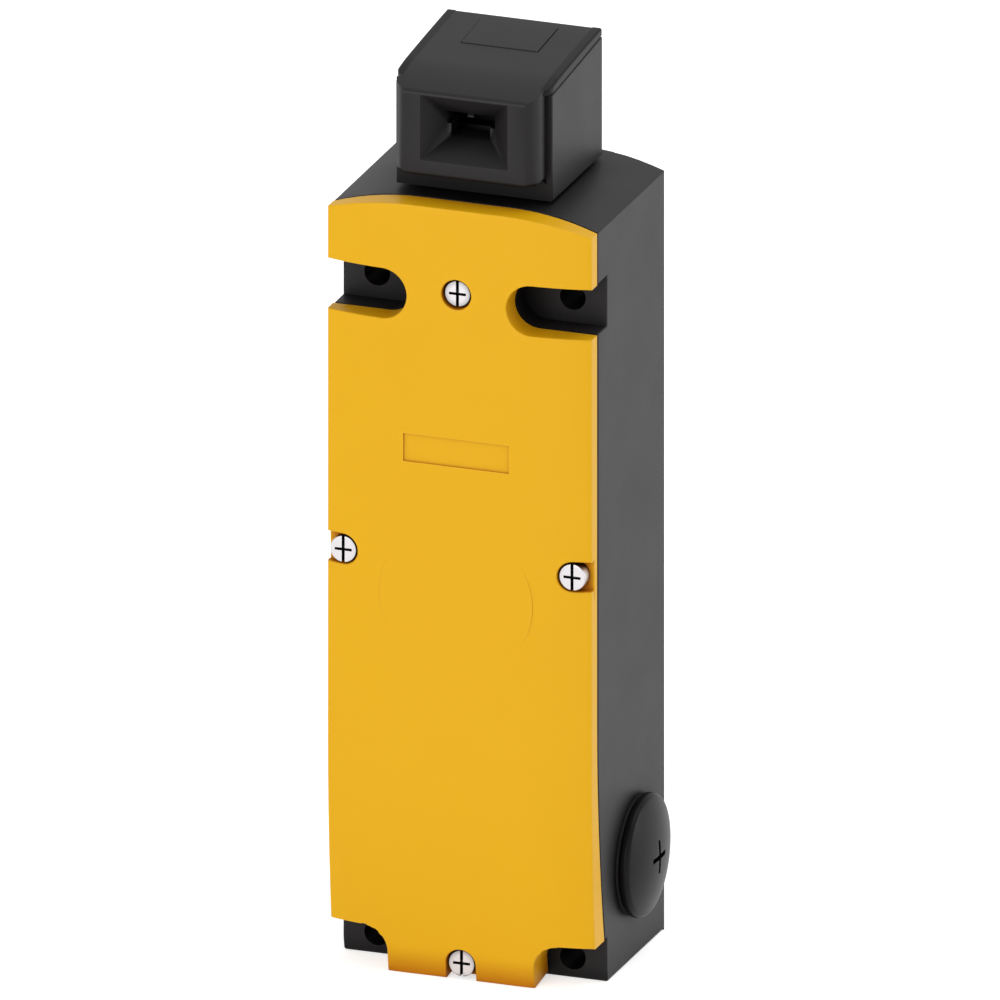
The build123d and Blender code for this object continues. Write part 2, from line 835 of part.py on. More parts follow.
# Turntable collar: a plate inside the head and a turret that runs in the housing's top
turret_outer_r = turret_r - turret_gap
groove_r = turret_outer_r - retainer_groove
ring_z = ceiling_z + ceiling_thickness - ring_depth
with BuildPart() as head_collar:
    box_between(
        (-cavity_half + collar_gap, cavity_front_y + collar_gap, head_low_z),
        (cavity_half - collar_gap, cavity_back_y - collar_gap, head_low_z + collar_plate),
    )
    with BuildSketch(Plane.XY.offset(turret_low_z)):
        with Locations((0, head_axis_y)):
            Circle(turret_outer_r)
    extrude(amount=head_low_z - turret_low_z)
    with BuildSketch(Plane.XY.offset(turret_low_z - 1)):
        with Locations((0, head_axis_y)):
            Circle(plunger_r + plunger_bore_gap)
    extrude(amount=head_low_z + collar_plate - turret_low_z + 2, mode=Mode.SUBTRACT)
    cut_between(
        (-cam_half_width - 1, head_axis_y - collar_window, head_low_z),
        (cam_half_width + 1, head_axis_y + collar_window, head_low_z + collar_plate + 1),
    )
    with BuildSketch(Plane.XY.offset(retainer_low_z)):
        with Locations((0, head_axis_y)):
            Circle(turret_outer_r + 1)
            Circle(groove_r, mode=Mode.SUBTRACT)
    extrude(amount=retainer_thickness, mode=Mode.SUBTRACT)
    with BuildSketch(Plane.XY.offset(ring_z - ring_section - 0.1)):
        with Locations((0, head_axis_y)):
            Circle(turret_outer_r + 1)
            Circle(turret_outer_r - 2 * ring_section - 0.15, mode=Mode.SUBTRACT)
    extrude(amount=2 * ring_section + 0.2, mode=Mode.SUBTRACT)
head_collar.part.label = "head_collar"
export_step(head_collar.part, "parts/head_collar.step")

with BuildPart() as head_seal_ring:
    with BuildSketch(facing_front(head_axis_y)):
        with Locations((turret_outer_r - ring_section - 0.05, ring_z)):
            RegularPolygon(ring_section, 8)
    revolve(axis=Axis((0, head_axis_y, 0), (0, 0, 1)))
head_seal_ring.part.label = "head_seal_ring"
export_step(head_seal_ring.part, "parts/head_seal_ring.step")

with BuildPart() as head_retainer:
    with BuildSketch(Plane.XY.offset(retainer_low_z)):
        with Locations((0, head_axis_y)):
            Circle(retainer_outer_r)
            Circle(groove_r + 0.03, mode=Mode.SUBTRACT)
        with Locations((0, head_axis_y + retainer_outer_r)):
            Rectangle(groove_r, 2 * (retainer_outer_r - groove_r) + 4, mode=Mode.SUBTRACT)
    extrude(amount=retainer_thickness)
head_retainer.part.label = "head_retainer"
export_step(head_retainer.part, "parts/head_retainer.step")

# Cam axle
with BuildPart() as cam_axle:
    with BuildSketch(Plane.YZ):
        with Locations((head_axis_y, cam_z)):
            Circle(axle_r)
    extrude(amount=cavity_half + axle_seat - 0.1, both=True)
cam_axle.part.label = "cam_axle"
export_step(cam_axle.part, "parts/cam_axle.step")


def cam_point(angle):
    """A point of the cam's falling flank, where angle is counted from the lowest point."""
    radius = cam_r - cam_drop * radians(angle)
    turn = radians(angle - 90)
    return (head_axis_y + radius * cos(turn), cam_z + radius * sin(turn))


def rim_point(angle):
    """A point of the cam's round rim."""
    turn = radians(angle)
    return (head_axis_y + cam_r * cos(turn), cam_z + cam_r * sin(turn))


# Cam wheel: a round rim with a notch for each tongue slot, and a falling flank over the plunger
flank_angles = [cam_angle * step / 5 for step in range(6)]
with BuildPart() as cam_wheel:
    with BuildSketch(Plane.YZ):
        with BuildLine():
            Spline([cam_point(angle) for angle in flank_angles])
            Line(cam_point(cam_angle), rim_point(15))
            ThreePointArc(rim_point(15), rim_point(140), rim_point(270))
        make_face()
        with Locations((head_axis_y - notch_floor - notch_length / 2, slot_z)):
            Rectangle(notch_length, slot_height + 0.4, mode=Mode.SUBTRACT)
        with Locations((top_slot_y, cam_z + notch_floor + notch_length / 2)):
            Rectangle(slot_height + 0.4, notch_length, mode=Mode.SUBTRACT)
    extrude(amount=cam_half_width, both=True)
    with BuildSketch(Plane.YZ):
        with Locations((head_axis_y, cam_z)):
            Circle(cam_hub_r)
    extrude(amount=cavity_half - cam_side_gap, both=True)
    with BuildSketch(Plane.YZ):
        with Locations((head_axis_y, cam_z)):
            Circle(axle_r + axle_gap)
    extrude(amount=head_half_width, both=True, mode=Mode.SUBTRACT)
cam_wheel.part.label = "cam_wheel"
export_step(cam_wheel.part, "parts/cam_wheel.step")

# Plunger with its lock collar and spring flange
with BuildPart() as plunger:
    with BuildSketch(facing_front(head_axis_y)):
        with BuildLine():
            Polyline(
                (0, tip_z),
                (0, plunger_low_z),
                (plunger_rod_r, plunger_low_z),
                (plunger_rod_r, lock_collar_z),
                (lock_collar_r, lock_collar_z),
                (lock_collar_r, lock_collar_z + lock_collar),
                (plunger_rod_r, lock_collar_z + lock_collar),
                (plunger_rod_r, spring_flange_z),
                (spring_flange_r, spring_flange_z),
                (spring_flange_r, spring_flange_z + spring_flange),
                (plunger_r, spring_flange_z + spring_flange),
                (plunger_r, tip_z - plunger_tip_r - plunger_cone),
                (plunger_tip_r, tip_z - plunger_tip_r),
            )
            TangentArc((0, tip_z), (plunger_tip_r, tip_z - plunger_tip_r), tangent=(1, 0))
        make_face()
    revolve(axis=Axis((0, head_axis_y, 0), (0, 0, 1)))
plunger.part.label = "plunger"
export_step(plunger.part, "parts/plunger.step")

# Mechanism frame: a back plate with three guide arms
with BuildPart() as mechanism_frame:
    box_between(
        (-frame_half_width, frame_front_y, frame_low_z), (frame_half_width, inner_back_y, frame_high_z)
    )
    arms = (
        (frame_high_z - upper_arm, frame_high_z, plunger_r),
        (middle_arm_z, middle_arm_z + middle_arm, plunger_rod_r),
        (lower_arm_z, lower_arm_z + lower_arm, plunger_rod_r),
    )
    for low_z, high_z, guide_r in arms:
        box_between(
            (-arm_half_width, head_axis_y - arm_reach, low_z),
            (arm_half_width, frame_front_y, high_z),
        )
        with BuildSketch(Plane.XY.offset(low_z)):
            with Locations((0, head_axis_y)):
                Circle(guide_r + plunger_gap)
        extrude(amount=high_z - low_z, mode=Mode.SUBTRACT)
    for side in (-1, 1):
        with BuildSketch(facing_front(inner_back_y)):
            with Locations((side * fixing_x, frame_fixing_z)):
                Circle(terminal_shank_r + screw_gap)
        extrude(amount=frame_back, mode=Mode.SUBTRACT)
mechanism_frame.part.label = "mechanism_frame"
export_step(mechanism_frame.part, "parts/mechanism_frame.step")

# Contact carrier: a plate on the plunger's foot, a strip down behind the solenoid, a windowed block
with BuildPart() as contact_carrier:
    box_between(
        (-carrier_strip_half, head_axis_y - carrier_strip_half, carrier_plate_z),
        (carrier_strip_half, carrier_back_y, carrier_plate_z + carrier_plate),
    )
    box_between(
        (-carrier_strip_half, carrier_back_y - carrier_strip, carrier_low_z),
        (carrier_strip_half, carrier_back_y, carrier_plate_z),
    )
    box_between(
        (-carrier_half_width, carrier_front_y, carrier_low_z),
        (carrier_half_width, carrier_back_y, carrier_block_high_z),
    )
    for top_z in window_tops:
        cut_between(
            (-body_width, window_y - window_half, top_z - window_height),
            (body_width, window_y + window_half, top_z),
        )
    with BuildSketch(Plane.XY.offset(carrier_plate_z - 1)):
        with Locations((0, head_axis_y)):
            Circle(plunger_rod_r)
    extrude(amount=carrier_plate + 2, mode=Mode.SUBTRACT)
contact_carrier.part.label = "contact_carrier"
export_step(contact_carrier.part, "parts/contact_carrier.step")

# Moving contact bridges, each with two silver tips
with BuildPart() as contact_bridges:
    for top_z in window_tops:
        box_between(
            (-bridge_half_length, window_y - bridge_half_width, top_z - bridge_thickness),
            (bridge_half_length, window_y + bridge_half_width, top_z),
        )
        with BuildSketch(Plane.XY.offset(top_z)):
            for side in (-1, 1):
                with Locations((side * (bridge_half_length - contact_tip_r - 0.4), window_y)):
                    Circle(contact_tip_r)
        extrude(amount=contact_tip)
contact_bridges.part.label = "contact_bridges"
export_step(contact_bridges.part, "parts/contact_bridges.step")

# Springs that press the bridges against the tops of their windows
contact_length = window_height - bridge_thickness - 2 * spring_seat_gap
contact_coil = helical_spring(contact_spring_r, contact_wire_r, contact_length, contact_turns)
with BuildPart() as contact_springs:
    for top_z in window_tops:
        with Locations((0, window_y, top_z - window_height + spring_seat_gap)):
            add(contact_coil)
contact_springs.part.label = "contact_springs"
export_step(contact_springs.part, "parts/contact_springs.step")

# Contact block: two towers that hold the fixed contacts, joined by a back plate
with BuildPart() as contact_block:
    block_back_y = inner_back_y - block_back
    box_between((-block_outer_x, block_back_y, block_low_z), (block_outer_x, inner_back_y, block_high_z))
    for side in (-1, 1):
        inner_x, outer_x = sorted((side * block_inner_x, side * block_outer_x))
        box_between((inner_x, block_front_y, block_low_z), (outer_x, block_back_y, block_high_z))
        for top_z in window_tops:
            strip_z = top_z + strip_rise
            pad_z = strip_z + strip_thickness - terminal_half
            near_x, far_x = sorted((side * (block_inner_x - 1), side * (terminal_x + terminal_half)))
            cut_between(
                (near_x, window_y - strip_half_width - part_gap, strip_z - part_gap),
                (far_x, window_y + strip_half_width + part_gap, strip_z + strip_thickness + part_gap),
            )
            near_x, far_x = sorted(
                (side * (terminal_x - strip_half_width), side * (terminal_x + terminal_half))
            )
            cut_between(
                (near_x, block_front_y - 1, strip_z - part_gap),
                (far_x, window_y, strip_z + strip_thickness + part_gap),
            )
            with BuildSketch(facing_front(block_front_y + terminal_length)):
                with Locations((side * terminal_x, pad_z)):
                    Circle(terminal_shank_r + screw_gap)
            extrude(amount=terminal_length, mode=Mode.SUBTRACT)
        with BuildSketch(facing_front(inner_back_y)):
            with Locations((side * block_fixing_x, block_fixing_z)):
                Circle(terminal_shank_r + screw_gap)
        extrude(amount=block_back, mode=Mode.SUBTRACT)
contact_block.part.label = "contact_block"
export_step(contact_block.part, "parts/contact_block.step")

# Fixed contacts: a strip from the bridge to the front and a terminal pad
with BuildPart() as fixed_contacts:
    pad_front_y = block_front_y - strip_thickness
    pad_screw_seats = []
    for side in (-1, 1):
        for top_z in window_tops:
            strip_z = top_z + strip_rise
            pad_z = strip_z + strip_thickness - terminal_half
            near_x, far_x = sorted((side * strip_inner_x, side * (terminal_x + terminal_half - part_gap)))
            box_between(
                (near_x, window_y - strip_half_width, strip_z),
                (far_x, window_y + strip_half_width, strip_z + strip_thickness),
            )
            near_x, far_x = sorted(
                (
                    side * (terminal_x - strip_half_width + part_gap),
                    side * (terminal_x + terminal_half - part_gap),
                )
            )
            box_between(
                (near_x, pad_front_y, strip_z), (far_x, window_y, strip_z + strip_thickness)
            )
            box_between(
                (side * terminal_x - terminal_half, pad_front_y, pad_z - terminal_half),
                (side * terminal_x + terminal_half, block_front_y, pad_z + terminal_half),
            )
            with BuildSketch(facing_front(block_front_y)):
                with Locations((side * terminal_x, pad_z)):
                    Circle(terminal_shank_r + screw_gap)
            extrude(amount=strip_thickness, mode=Mode.SUBTRACT)
            pad_screw_seats.append((side * terminal_x, pad_front_y, pad_z))
fixed_contacts.part.label = "fixed_contacts"
export_step(fixed_contacts.part, "parts/fixed_contacts.step")

# Terminal screws
with BuildPart() as terminal_screws:
    for seat in pad_screw_seats:
        cylinder_screw(seat, terminal_head_r, terminal_head_height, terminal_shank_r, terminal_length)
terminal_screws.part.label = "terminal_screws"
export_step(terminal_screws.part, "parts/terminal_screws.step")

# Screws that hold solenoid, contact block and mechanism frame
with BuildPart() as mechanism_screws:
    for seat in fixing_seats:
        cylinder_screw(seat, terminal_head_r, terminal_head_height, terminal_shank_r, fixing_length)
mechanism_screws.part.label = "mechanism_screws"
export_step(mechanism_screws.part, "parts/mechanism_screws.step")

# Earth terminal
with BuildPart() as earth_clamp:
    box_between(
        (-clamp_half, earth_post_y - clamp_thickness, earth_z - clamp_half),
        (clamp_half, earth_post_y, earth_z + clamp_half),
    )
    with BuildSketch(facing_front(earth_post_y)):
        with Locations((0, earth_z)):
            Circle(terminal_shank_r + screw_gap)
    extrude(amount=clamp_thickness, mode=Mode.SUBTRACT)
earth_clamp.part.label = "earth_clamp"
export_step(earth_clamp.part, "parts/earth_clamp.step")

with BuildPart() as earth_screw:
    cylinder_screw(
        (0, earth_post_y - clamp_thickness, earth_z),
        terminal_head_r,
        terminal_head_height,
        terminal_shank_r,
        fixing_length,
    )
earth_screw.part.label = "earth_screw"
export_step(earth_screw.part, "parts/earth_screw.step")

# Solenoid yoke: back plate with screw tabs and two end plates
with BuildPart() as solenoid_frame:
    box_between(
        (-yoke_outer - yoke_tab, yoke_front_y, coil_z - yoke_half_height),
        (yoke_outer + yoke_tab, yoke_back_y, coil_z + yoke_half_height),
    )
    for side in (-1, 1):
        near_x, far_x = sorted((side * yoke_inner, side * yoke_outer))
        box_between(
            (near_x, coil_y - flange_half, coil_z - yoke_half_height),
            (far_x, yoke_front_y, coil_z + yoke_half_height),
        )
        with BuildSketch(facing_front(yoke_back_y)):
            with Locations((side * tab_x, coil_z)):
                Circle(terminal_shank_r + screw_gap)
        extrude(amount=yoke_plate, mode=Mode.SUBTRACT)
    with BuildSketch(Plane.YZ.offset(-yoke_outer - 1)):
        with Locations((coil_y, coil_z)):
            Circle(armature_r + 5 * armature_gap)
    extrude(amount=yoke_plate + 2, mode=Mode.SUBTRACT)
    with BuildSketch(Plane.YZ.offset(yoke_inner)):
        with Locations((coil_y, coil_z)):
            Circle(rivet_r + axle_gap)
    extrude(amount=yoke_plate, mode=Mode.SUBTRACT)
solenoid_frame.part.label = "solenoid_frame"
export_step(solenoid_frame.part, "parts/solenoid_frame.step")

# Bobbin, with square flanges
bobbin_bore_r = armature_r + armature_gap
bobbin_outer_r = bobbin_bore_r + bobbin_wall
with BuildPart() as solenoid_bobbin:
    with BuildSketch(Plane.YZ):
        with Locations((coil_y, coil_z)):
            Circle(bobbin_outer_r)
    extrude(amount=coil_half, both=True)
    for side in (-1, 1):
        with BuildSketch(Plane.YZ.offset(side * (coil_half - flange_thickness))):
            with Locations((coil_y, coil_z)):
                Rectangle(2 * flange_half, 2 * flange_half)
        extrude(amount=side * flange_thickness)
    with BuildSketch(Plane.YZ):
        with Locations((coil_y, coil_z)):
            Circle(bobbin_bore_r)
    extrude(amount=coil_half + 1, both=True, mode=Mode.SUBTRACT)
solenoid_bobbin.part.label = "solenoid_bobbin"
export_step(solenoid_bobbin.part, "parts/solenoid_bobbin.step")

with BuildPart() as solenoid_winding:
    with BuildSketch(Plane.YZ):
        with Locations((coil_y, coil_z)):
            Circle(winding_r)
            Circle(bobbin_outer_r, mode=Mode.SUBTRACT)
    extrude(amount=coil_half - flange_thickness, both=True)
solenoid_winding.part.label = "solenoid_winding"
export_step(solenoid_winding.part, "parts/solenoid_winding.step")

with BuildPart() as solenoid_blades:
    for side in (-1, 1):
        box_between(
            (
                coil_half - flange_thickness / 2 - blade_thickness / 2,
                coil_blade_front_y,
                coil_z + side * coil_blade_gap - blade_width / 2,
            ),
            (
                coil_half - flange_thickness / 2 + blade_thickness / 2,
                coil_y - flange_half,
                coil_z + side * coil_blade_gap + blade_width / 2,
            ),
        )
solenoid_blades.part.label = "solenoid_blades"
export_step(solenoid_blades.part, "parts/solenoid_blades.step")

# Fixed core, riveted into the end plate
core_x = armature_inner_x + lock_travel + stop_gap
with BuildPart() as solenoid_core:
    with BuildSketch(Plane.YZ.offset(core_x)):
        with Locations((coil_y, coil_z)):
            Circle(armature_r)
    extrude(amount=yoke_inner - core_x)
    with BuildSketch(Plane.YZ.offset(yoke_inner)):
        with Locations((coil_y, coil_z)):
            Circle(rivet_r)
    extrude(amount=yoke_plate)
    with BuildSketch(Plane.YZ.offset(yoke_outer)):
        with Locations((coil_y, coil_z)):
            Circle(rivet_head_r)
    extrude(amount=rivet_head)
solenoid_core.part.label = "solenoid_core"
export_step(solenoid_core.part, "parts/solenoid_core.step")

# Armature, riveted to the lock slide
with BuildPart() as solenoid_armature:
    with BuildSketch(Plane.YZ.offset(arm_right_x)):
        with Locations((coil_y, coil_z)):
            Circle(armature_r)
    extrude(amount=armature_inner_x - arm_right_x)
    with BuildSketch(Plane.YZ.offset(lock_arm_x)):
        with Locations((coil_y, coil_z)):
            Circle(rivet_r)
    extrude(amount=lock_plate)
    with BuildSketch(Plane.YZ.offset(lock_arm_x - rivet_head)):
        with Locations((coil_y, coil_z)):
            Circle(rivet_head_r)
    extrude(amount=rivet_head)
solenoid_armature.part.label = "solenoid_armature"
export_step(solenoid_armature.part, "parts/solenoid_armature.step")

# Lock slide: an upright arm on the armature and a fork that slips under the plunger's collar
with BuildPart() as lock_slide:
    box_between(
        (lock_arm_x, coil_y - lock_arm_half, lock_arm_low_z),
        (arm_right_x, coil_y + lock_arm_half, lock_z + lock_plate),
    )
    box_between(
        (lock_arm_x, head_axis_y - fork_half_width, lock_z),
        (fork_tip_x, head_axis_y + fork_half_width, lock_z + lock_plate),
    )
    slot_end_x = -lock_travel - fork_slot_half
    cut_between(
        (slot_end_x, head_axis_y - fork_slot_half, lock_z - 1),
        (0, head_axis_y + fork_slot_half, lock_z + lock_plate + 1),
    )
    with BuildSketch(Plane.YZ.offset(lock_arm_x)):
        with Locations((coil_y, coil_z)):
            Circle(rivet_r)
    extrude(amount=lock_plate, mode=Mode.SUBTRACT)
lock_slide.part.label = "lock_slide"
export_step(lock_slide.part, "parts/lock_slide.step")

# Lock switch: case, button and blades
switch_mid_y = (switch_front_y + switch_back_y) / 2
switch_mid_z = (switch_low_z + switch_high_z) / 2
button_bore_end = switch_left_x + button_inside + lock_travel + contact_gap
with BuildPart() as lock_switch_case:
    box_between(
        (switch_left_x, switch_front_y, switch_low_z), (switch_right_x, switch_back_y, switch_high_z)
    )
    with BuildSketch(Plane.YZ.offset(switch_left_x - 1)):
        with Locations((switch_mid_y, switch_mid_z)):
            Circle(button_r + plunger_gap)
    extrude(amount=button_bore_end - switch_left_x + 1, mode=Mode.SUBTRACT)
lock_switch_case.part.label = "lock_switch_case"
export_step(lock_switch_case.part, "parts/lock_switch_case.step")

with BuildPart() as lock_switch_button:
    with BuildSketch(Plane.YZ.offset(arm_right_x + contact_gap)):
        with Locations((switch_mid_y, switch_mid_z)):
            Circle(button_r)
    extrude(amount=switch_left_x + button_inside - arm_right_x - contact_gap)
lock_switch_button.part.label = "lock_switch_button"
export_step(lock_switch_button.part, "parts/lock_switch_button.step")

with BuildPart() as lock_switch_blades:
    for x in switch_blades:
        box_between(
            (x - blade_thickness / 2, switch_front_y - blade_length, switch_mid_z - blade_width / 2),
            (x + blade_thickness / 2, switch_front_y, switch_mid_z + blade_width / 2),
        )
lock_switch_blades.part.label = "lock_switch_blades"
export_step(lock_switch_blades.part, "parts/lock_switch_blades.step")

# Return springs of the plunger and the lock slide
plunger_seat_z = middle_arm_z + middle_arm + spring_seat_gap
plunger_length = spring_flange_z - plunger_seat_z - spring_seat_gap
plunger_coil = helical_spring(plunger_spring_r, plunger_wire_r, plunger_length, plunger_turns)
with BuildPart() as plunger_spring:
    with Locations((0, head_axis_y, plunger_seat_z)):
        add(plunger_coil)
plunger_spring.part.label = "plunger_spring"
export_step(plunger_spring.part, "parts/plunger_spring.step")

lock_length = -yoke_outer - arm_right_x - 2 * spring_seat_gap
lock_coil = helical_spring(lock_spring_r, lock_wire_r, lock_length, lock_turns)
with BuildPart() as lock_spring:
    with Locations(Plane(origin=(arm_right_x + spring_seat_gap, coil_y, coil_z), z_dir=(1, 0, 0))):
        add(lock_coil)
lock_spring.part.label = "lock_spring"
export_step(lock_spring.part, "parts/lock_spring.step")
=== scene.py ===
import bpy
import bmesh
import json
import math
from mathutils import Matrix, Vector


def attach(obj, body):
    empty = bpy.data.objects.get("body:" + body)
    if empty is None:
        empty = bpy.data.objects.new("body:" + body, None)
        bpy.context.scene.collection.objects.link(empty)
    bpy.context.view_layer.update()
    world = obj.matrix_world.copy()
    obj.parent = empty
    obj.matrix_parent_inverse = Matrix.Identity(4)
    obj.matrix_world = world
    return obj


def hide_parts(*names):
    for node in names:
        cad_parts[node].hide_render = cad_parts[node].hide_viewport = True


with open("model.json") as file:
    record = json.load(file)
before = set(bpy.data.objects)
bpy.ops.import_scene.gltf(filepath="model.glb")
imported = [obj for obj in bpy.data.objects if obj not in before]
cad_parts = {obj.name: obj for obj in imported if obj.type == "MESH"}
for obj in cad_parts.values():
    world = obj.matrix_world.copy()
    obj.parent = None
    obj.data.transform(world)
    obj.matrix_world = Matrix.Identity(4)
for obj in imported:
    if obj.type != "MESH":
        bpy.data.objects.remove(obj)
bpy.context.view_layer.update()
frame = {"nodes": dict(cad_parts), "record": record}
mm = 0.001
print("frame loaded:", len(frame["nodes"]), "nodes")


# Small tools for meshes

# angles in degrees; shortest and room are shares of the rounding's width
meshPlan = {"mergeMm": 0.001, "flatAngle": 0.05, "faceWeight": 90, "shortest": 0.2, "room": 2.5}


def nothingSelected():
    # operators act on whatever is selected, so everything is let go first
    for other in bpy.context.selected_objects:
        other.select_set(False)


def lookOnlyAt(piece):
    nothingSelected()
    bpy.context.view_layer.objects.active = piece
    piece.select_set(True)


def settle(piece):
    # the place goes into the mesh and the object stands at the origin
    lookOnlyAt(piece)
    bpy.ops.object.transform_apply(location=True, rotation=True, scale=True)


def applyModifiers(piece):
    lookOnlyAt(piece)
    for modifier in list(piece.modifiers):
        bpy.ops.object.modifier_apply(modifier=modifier.name)


def cutAway(piece, cutter):
    # the cutter's shape is taken out of the piece, and the cutter goes
    cut = piece.modifiers.new("cut", "BOOLEAN")
    cut.operation = "DIFFERENCE"
    cut.solver = "EXACT"
    cut.object = cutter
    applyModifiers(piece)
    bpy.data.objects.remove(cutter)


def smoothBy(piece, angle, crisp=None):
    # rounded strips shade smoothly and large faces stay flat
    lookOnlyAt(piece)
    bpy.ops.object.shade_smooth_by_angle(angle=math.radians(angle), keep_sharp_edges=False)
    if crisp:
        verts = piece.data.vertices
        for edge in piece.data.edges:
            if all(crisp(verts[place].co / mm) for place in edge.vertices):
                edge.use_edge_sharp = True
    weigh = piece.modifiers.new("flatLargeFaces", "WEIGHTED_NORMAL")
    weigh.mode = "FACE_AREA"
    weigh.weight = meshPlan["faceWeight"]
    weigh.keep_sharp = True
    applyModifiers(piece)


def mergedCopy(nodeName, pieceName):
    # a copy of a CAD node with its triangles joined to whole faces
    mesh = frame["nodes"][nodeName].data.copy()
    piece = bpy.data.objects.new(pieceName, mesh)
    bpy.context.scene.collection.objects.link(piece)
    lookOnlyAt(piece)
    if mesh.has_custom_normals:
        bpy.ops.mesh.customdata_custom_splitnormals_clear()
    bpy.ops.object.mode_set(mode="EDIT")
    bpy.ops.mesh.select_all(action="SELECT")
    bpy.ops.mesh.remove_doubles(threshold=meshPlan["mergeMm"] * mm)
    bpy.ops.mesh.dissolve_limited(angle_limit=math.radians(meshPlan["flatAngle"]))
    bpy.ops.object.mode_set(mode="OBJECT")
    return piece


def roomBeside(edge, face):
    start, line = edge.verts[0].co, (edge.verts[1].co - edge.verts[0].co).normalized()
    return max((vert.co - start).cross(line).length for vert in face.verts)


def roundEdges(piece, width, wanted, segments=3, least=35):
    # outer edges that have room for it get a small radius; wanted gives each edge's share of the width
    mesh = piece.data
    limits = []
    for way in range(3):
        places = [vert.co[way] for vert in mesh.vertices]
        limits.append((min(places), max(places)))
    work = bmesh.new()
    work.from_mesh(mesh)
    weights = work.edges.layers.float.new("bevel_weight_edge")
    count = 0
    for edge in work.edges:
        if len(edge.link_faces) != 2 or not edge.is_convex:
            continue
        if edge.calc_length() < meshPlan["shortest"] * width:
            continue
        if edge.calc_face_angle(0) < math.radians(least):
            continue
        share = wanted(edge)
        room = min(roomBeside(edge, face) for face in edge.link_faces)
        if share and room > meshPlan["room"] * width * share:
            edge[weights] = share
            count += 1
    wide = [face for face in work.faces if len(face.verts) > 4]
    bmesh.ops.triangulate(work, faces=wide, ngon_method="BEAUTY")
    work.to_mesh(mesh)
    work.free()
    bevel = piece.modifiers.new("roundedEdges", "BEVEL")
    bevel.limit_method = "WEIGHT"
    bevel.width = width
    bevel.segments = segments
    bevel.use_clamp_overlap = False
    bevel.loop_slide = False
    applyModifiers(piece)
    # no corner of the rounding may leave the piece's own box
    for vert in mesh.vertices:
        for way, (low, high) in enumerate(limits):
            vert.co[way] = min(max(vert.co[way], low), high)
    print(piece.name, "has", count, "rounded edges")


# Shader groups

def newGroup(name, inputs, outputs):
    group = bpy.data.node_groups.new(name, "ShaderNodeTree")
    for label, value in inputs:
        socket = group.interface.new_socket(name=label, in_out="INPUT", socket_type="NodeSocketFloat")
        socket.default_value = value
    for label in outputs:
        group.interface.new_socket(name=label, in_out="OUTPUT", socket_type="NodeSocketFloat")
    start = group.nodes.new("NodeGroupInput")
    end = group.nodes.new("NodeGroupOutput")
    return group, start, end


def addNode(tree, kind, values=(), **settings):
    node = tree.nodes.new(kind)
    for key, value in settings.items():
        setattr(node, key, value)
    for key, value in values:
        node.inputs[key].default_value = value
    return node


def math1(tree, operation, first, second=None, clamp=False):
    node = tree.nodes.new("ShaderNodeMath")
    node.operation = operation
    node.use_clamp = clamp
    for place, value in ((0, first), (1, second)):
        if value is None:
            continue
        if isinstance(value, (int, float)):
            node.inputs[place].default_value = value
        else:
            tree.links.new(value, node.inputs[place])
    return node.outputs[0]


def buildGrain():
    # the eroded skin of a moulding tool: fine pits over slow unevenness
    group, start, end = newGroup(
        "mouldGrain", [("Grain mm", 0.25), ("Patch mm", 9.0)], ["Height", "Tone", "Patch"]
    )
    coords = addNode(group, "ShaderNodeTexCoord")
    fine = addNode(group, "ShaderNodeTexNoise", [("Detail", 4.0), ("Roughness", 0.6)])
    pits = addNode(group, "ShaderNodeTexVoronoi", feature="F1")
    slow = addNode(group, "ShaderNodeTexNoise", [("Detail", 3.0), ("Roughness", 0.5)])
    grainScale = math1(group, "DIVIDE", 1000.0, start.outputs["Grain mm"])
    patchScale = math1(group, "DIVIDE", 1000.0, start.outputs["Patch mm"])
    for node, scale in ((fine, grainScale), (pits, grainScale), (slow, patchScale)):
        group.links.new(coords.outputs["Object"], node.inputs["Vector"])
        group.links.new(scale, node.inputs["Scale"])
    height = math1(group, "ADD", math1(group, "MULTIPLY", fine.outputs["Fac"], 0.6),
                   math1(group, "MULTIPLY", pits.outputs["Distance"], 0.4))
    group.links.new(height, end.inputs["Height"])
    group.links.new(fine.outputs["Fac"], end.inputs["Tone"])
    group.links.new(slow.outputs["Fac"], end.inputs["Patch"])
    return group


def buildEdge():
    # outer edges: a mask that lightens their colour as a painted highlight, and lowers roughness where handling
    # polishes the skin
    group, start, end = newGroup("edgeHighlightAndRub", [("Radius", 0.0005), ("Gain", 3.0)], ["Mask"])
    soft = addNode(group, "ShaderNodeBevel", samples=4)
    geometry = addNode(group, "ShaderNodeNewGeometry")
    turned = addNode(group, "ShaderNodeVectorMath", operation="DOT_PRODUCT")
    group.links.new(start.outputs["Radius"], soft.inputs["Radius"])
    group.links.new(soft.outputs["Normal"], turned.inputs[0])
    group.links.new(geometry.outputs["Normal"], turned.inputs[1])
    away = math1(group, "SUBTRACT", 1.0, turned.outputs["Value"])
    mask = math1(group, "MULTIPLY", away, start.outputs["Gain"], clamp=True)
    group.links.new(mask, end.inputs["Mask"])
    return group


def buildPaintedCornerShade():
    # painted shade: an ambient occlusion mask that is high in corners and recesses, where light doesn't get to
    group, start, end = newGroup("paintedCornerShade", [("Reach", 0.004)], ["Mask"])
    shade = addNode(group, "ShaderNodeAmbientOcclusion", samples=8)
    group.links.new(start.outputs["Reach"], shade.inputs["Distance"])
    group.links.new(math1(group, "SUBTRACT", 1.0, shade.outputs["AO"], clamp=True), end.inputs["Mask"])
    return group


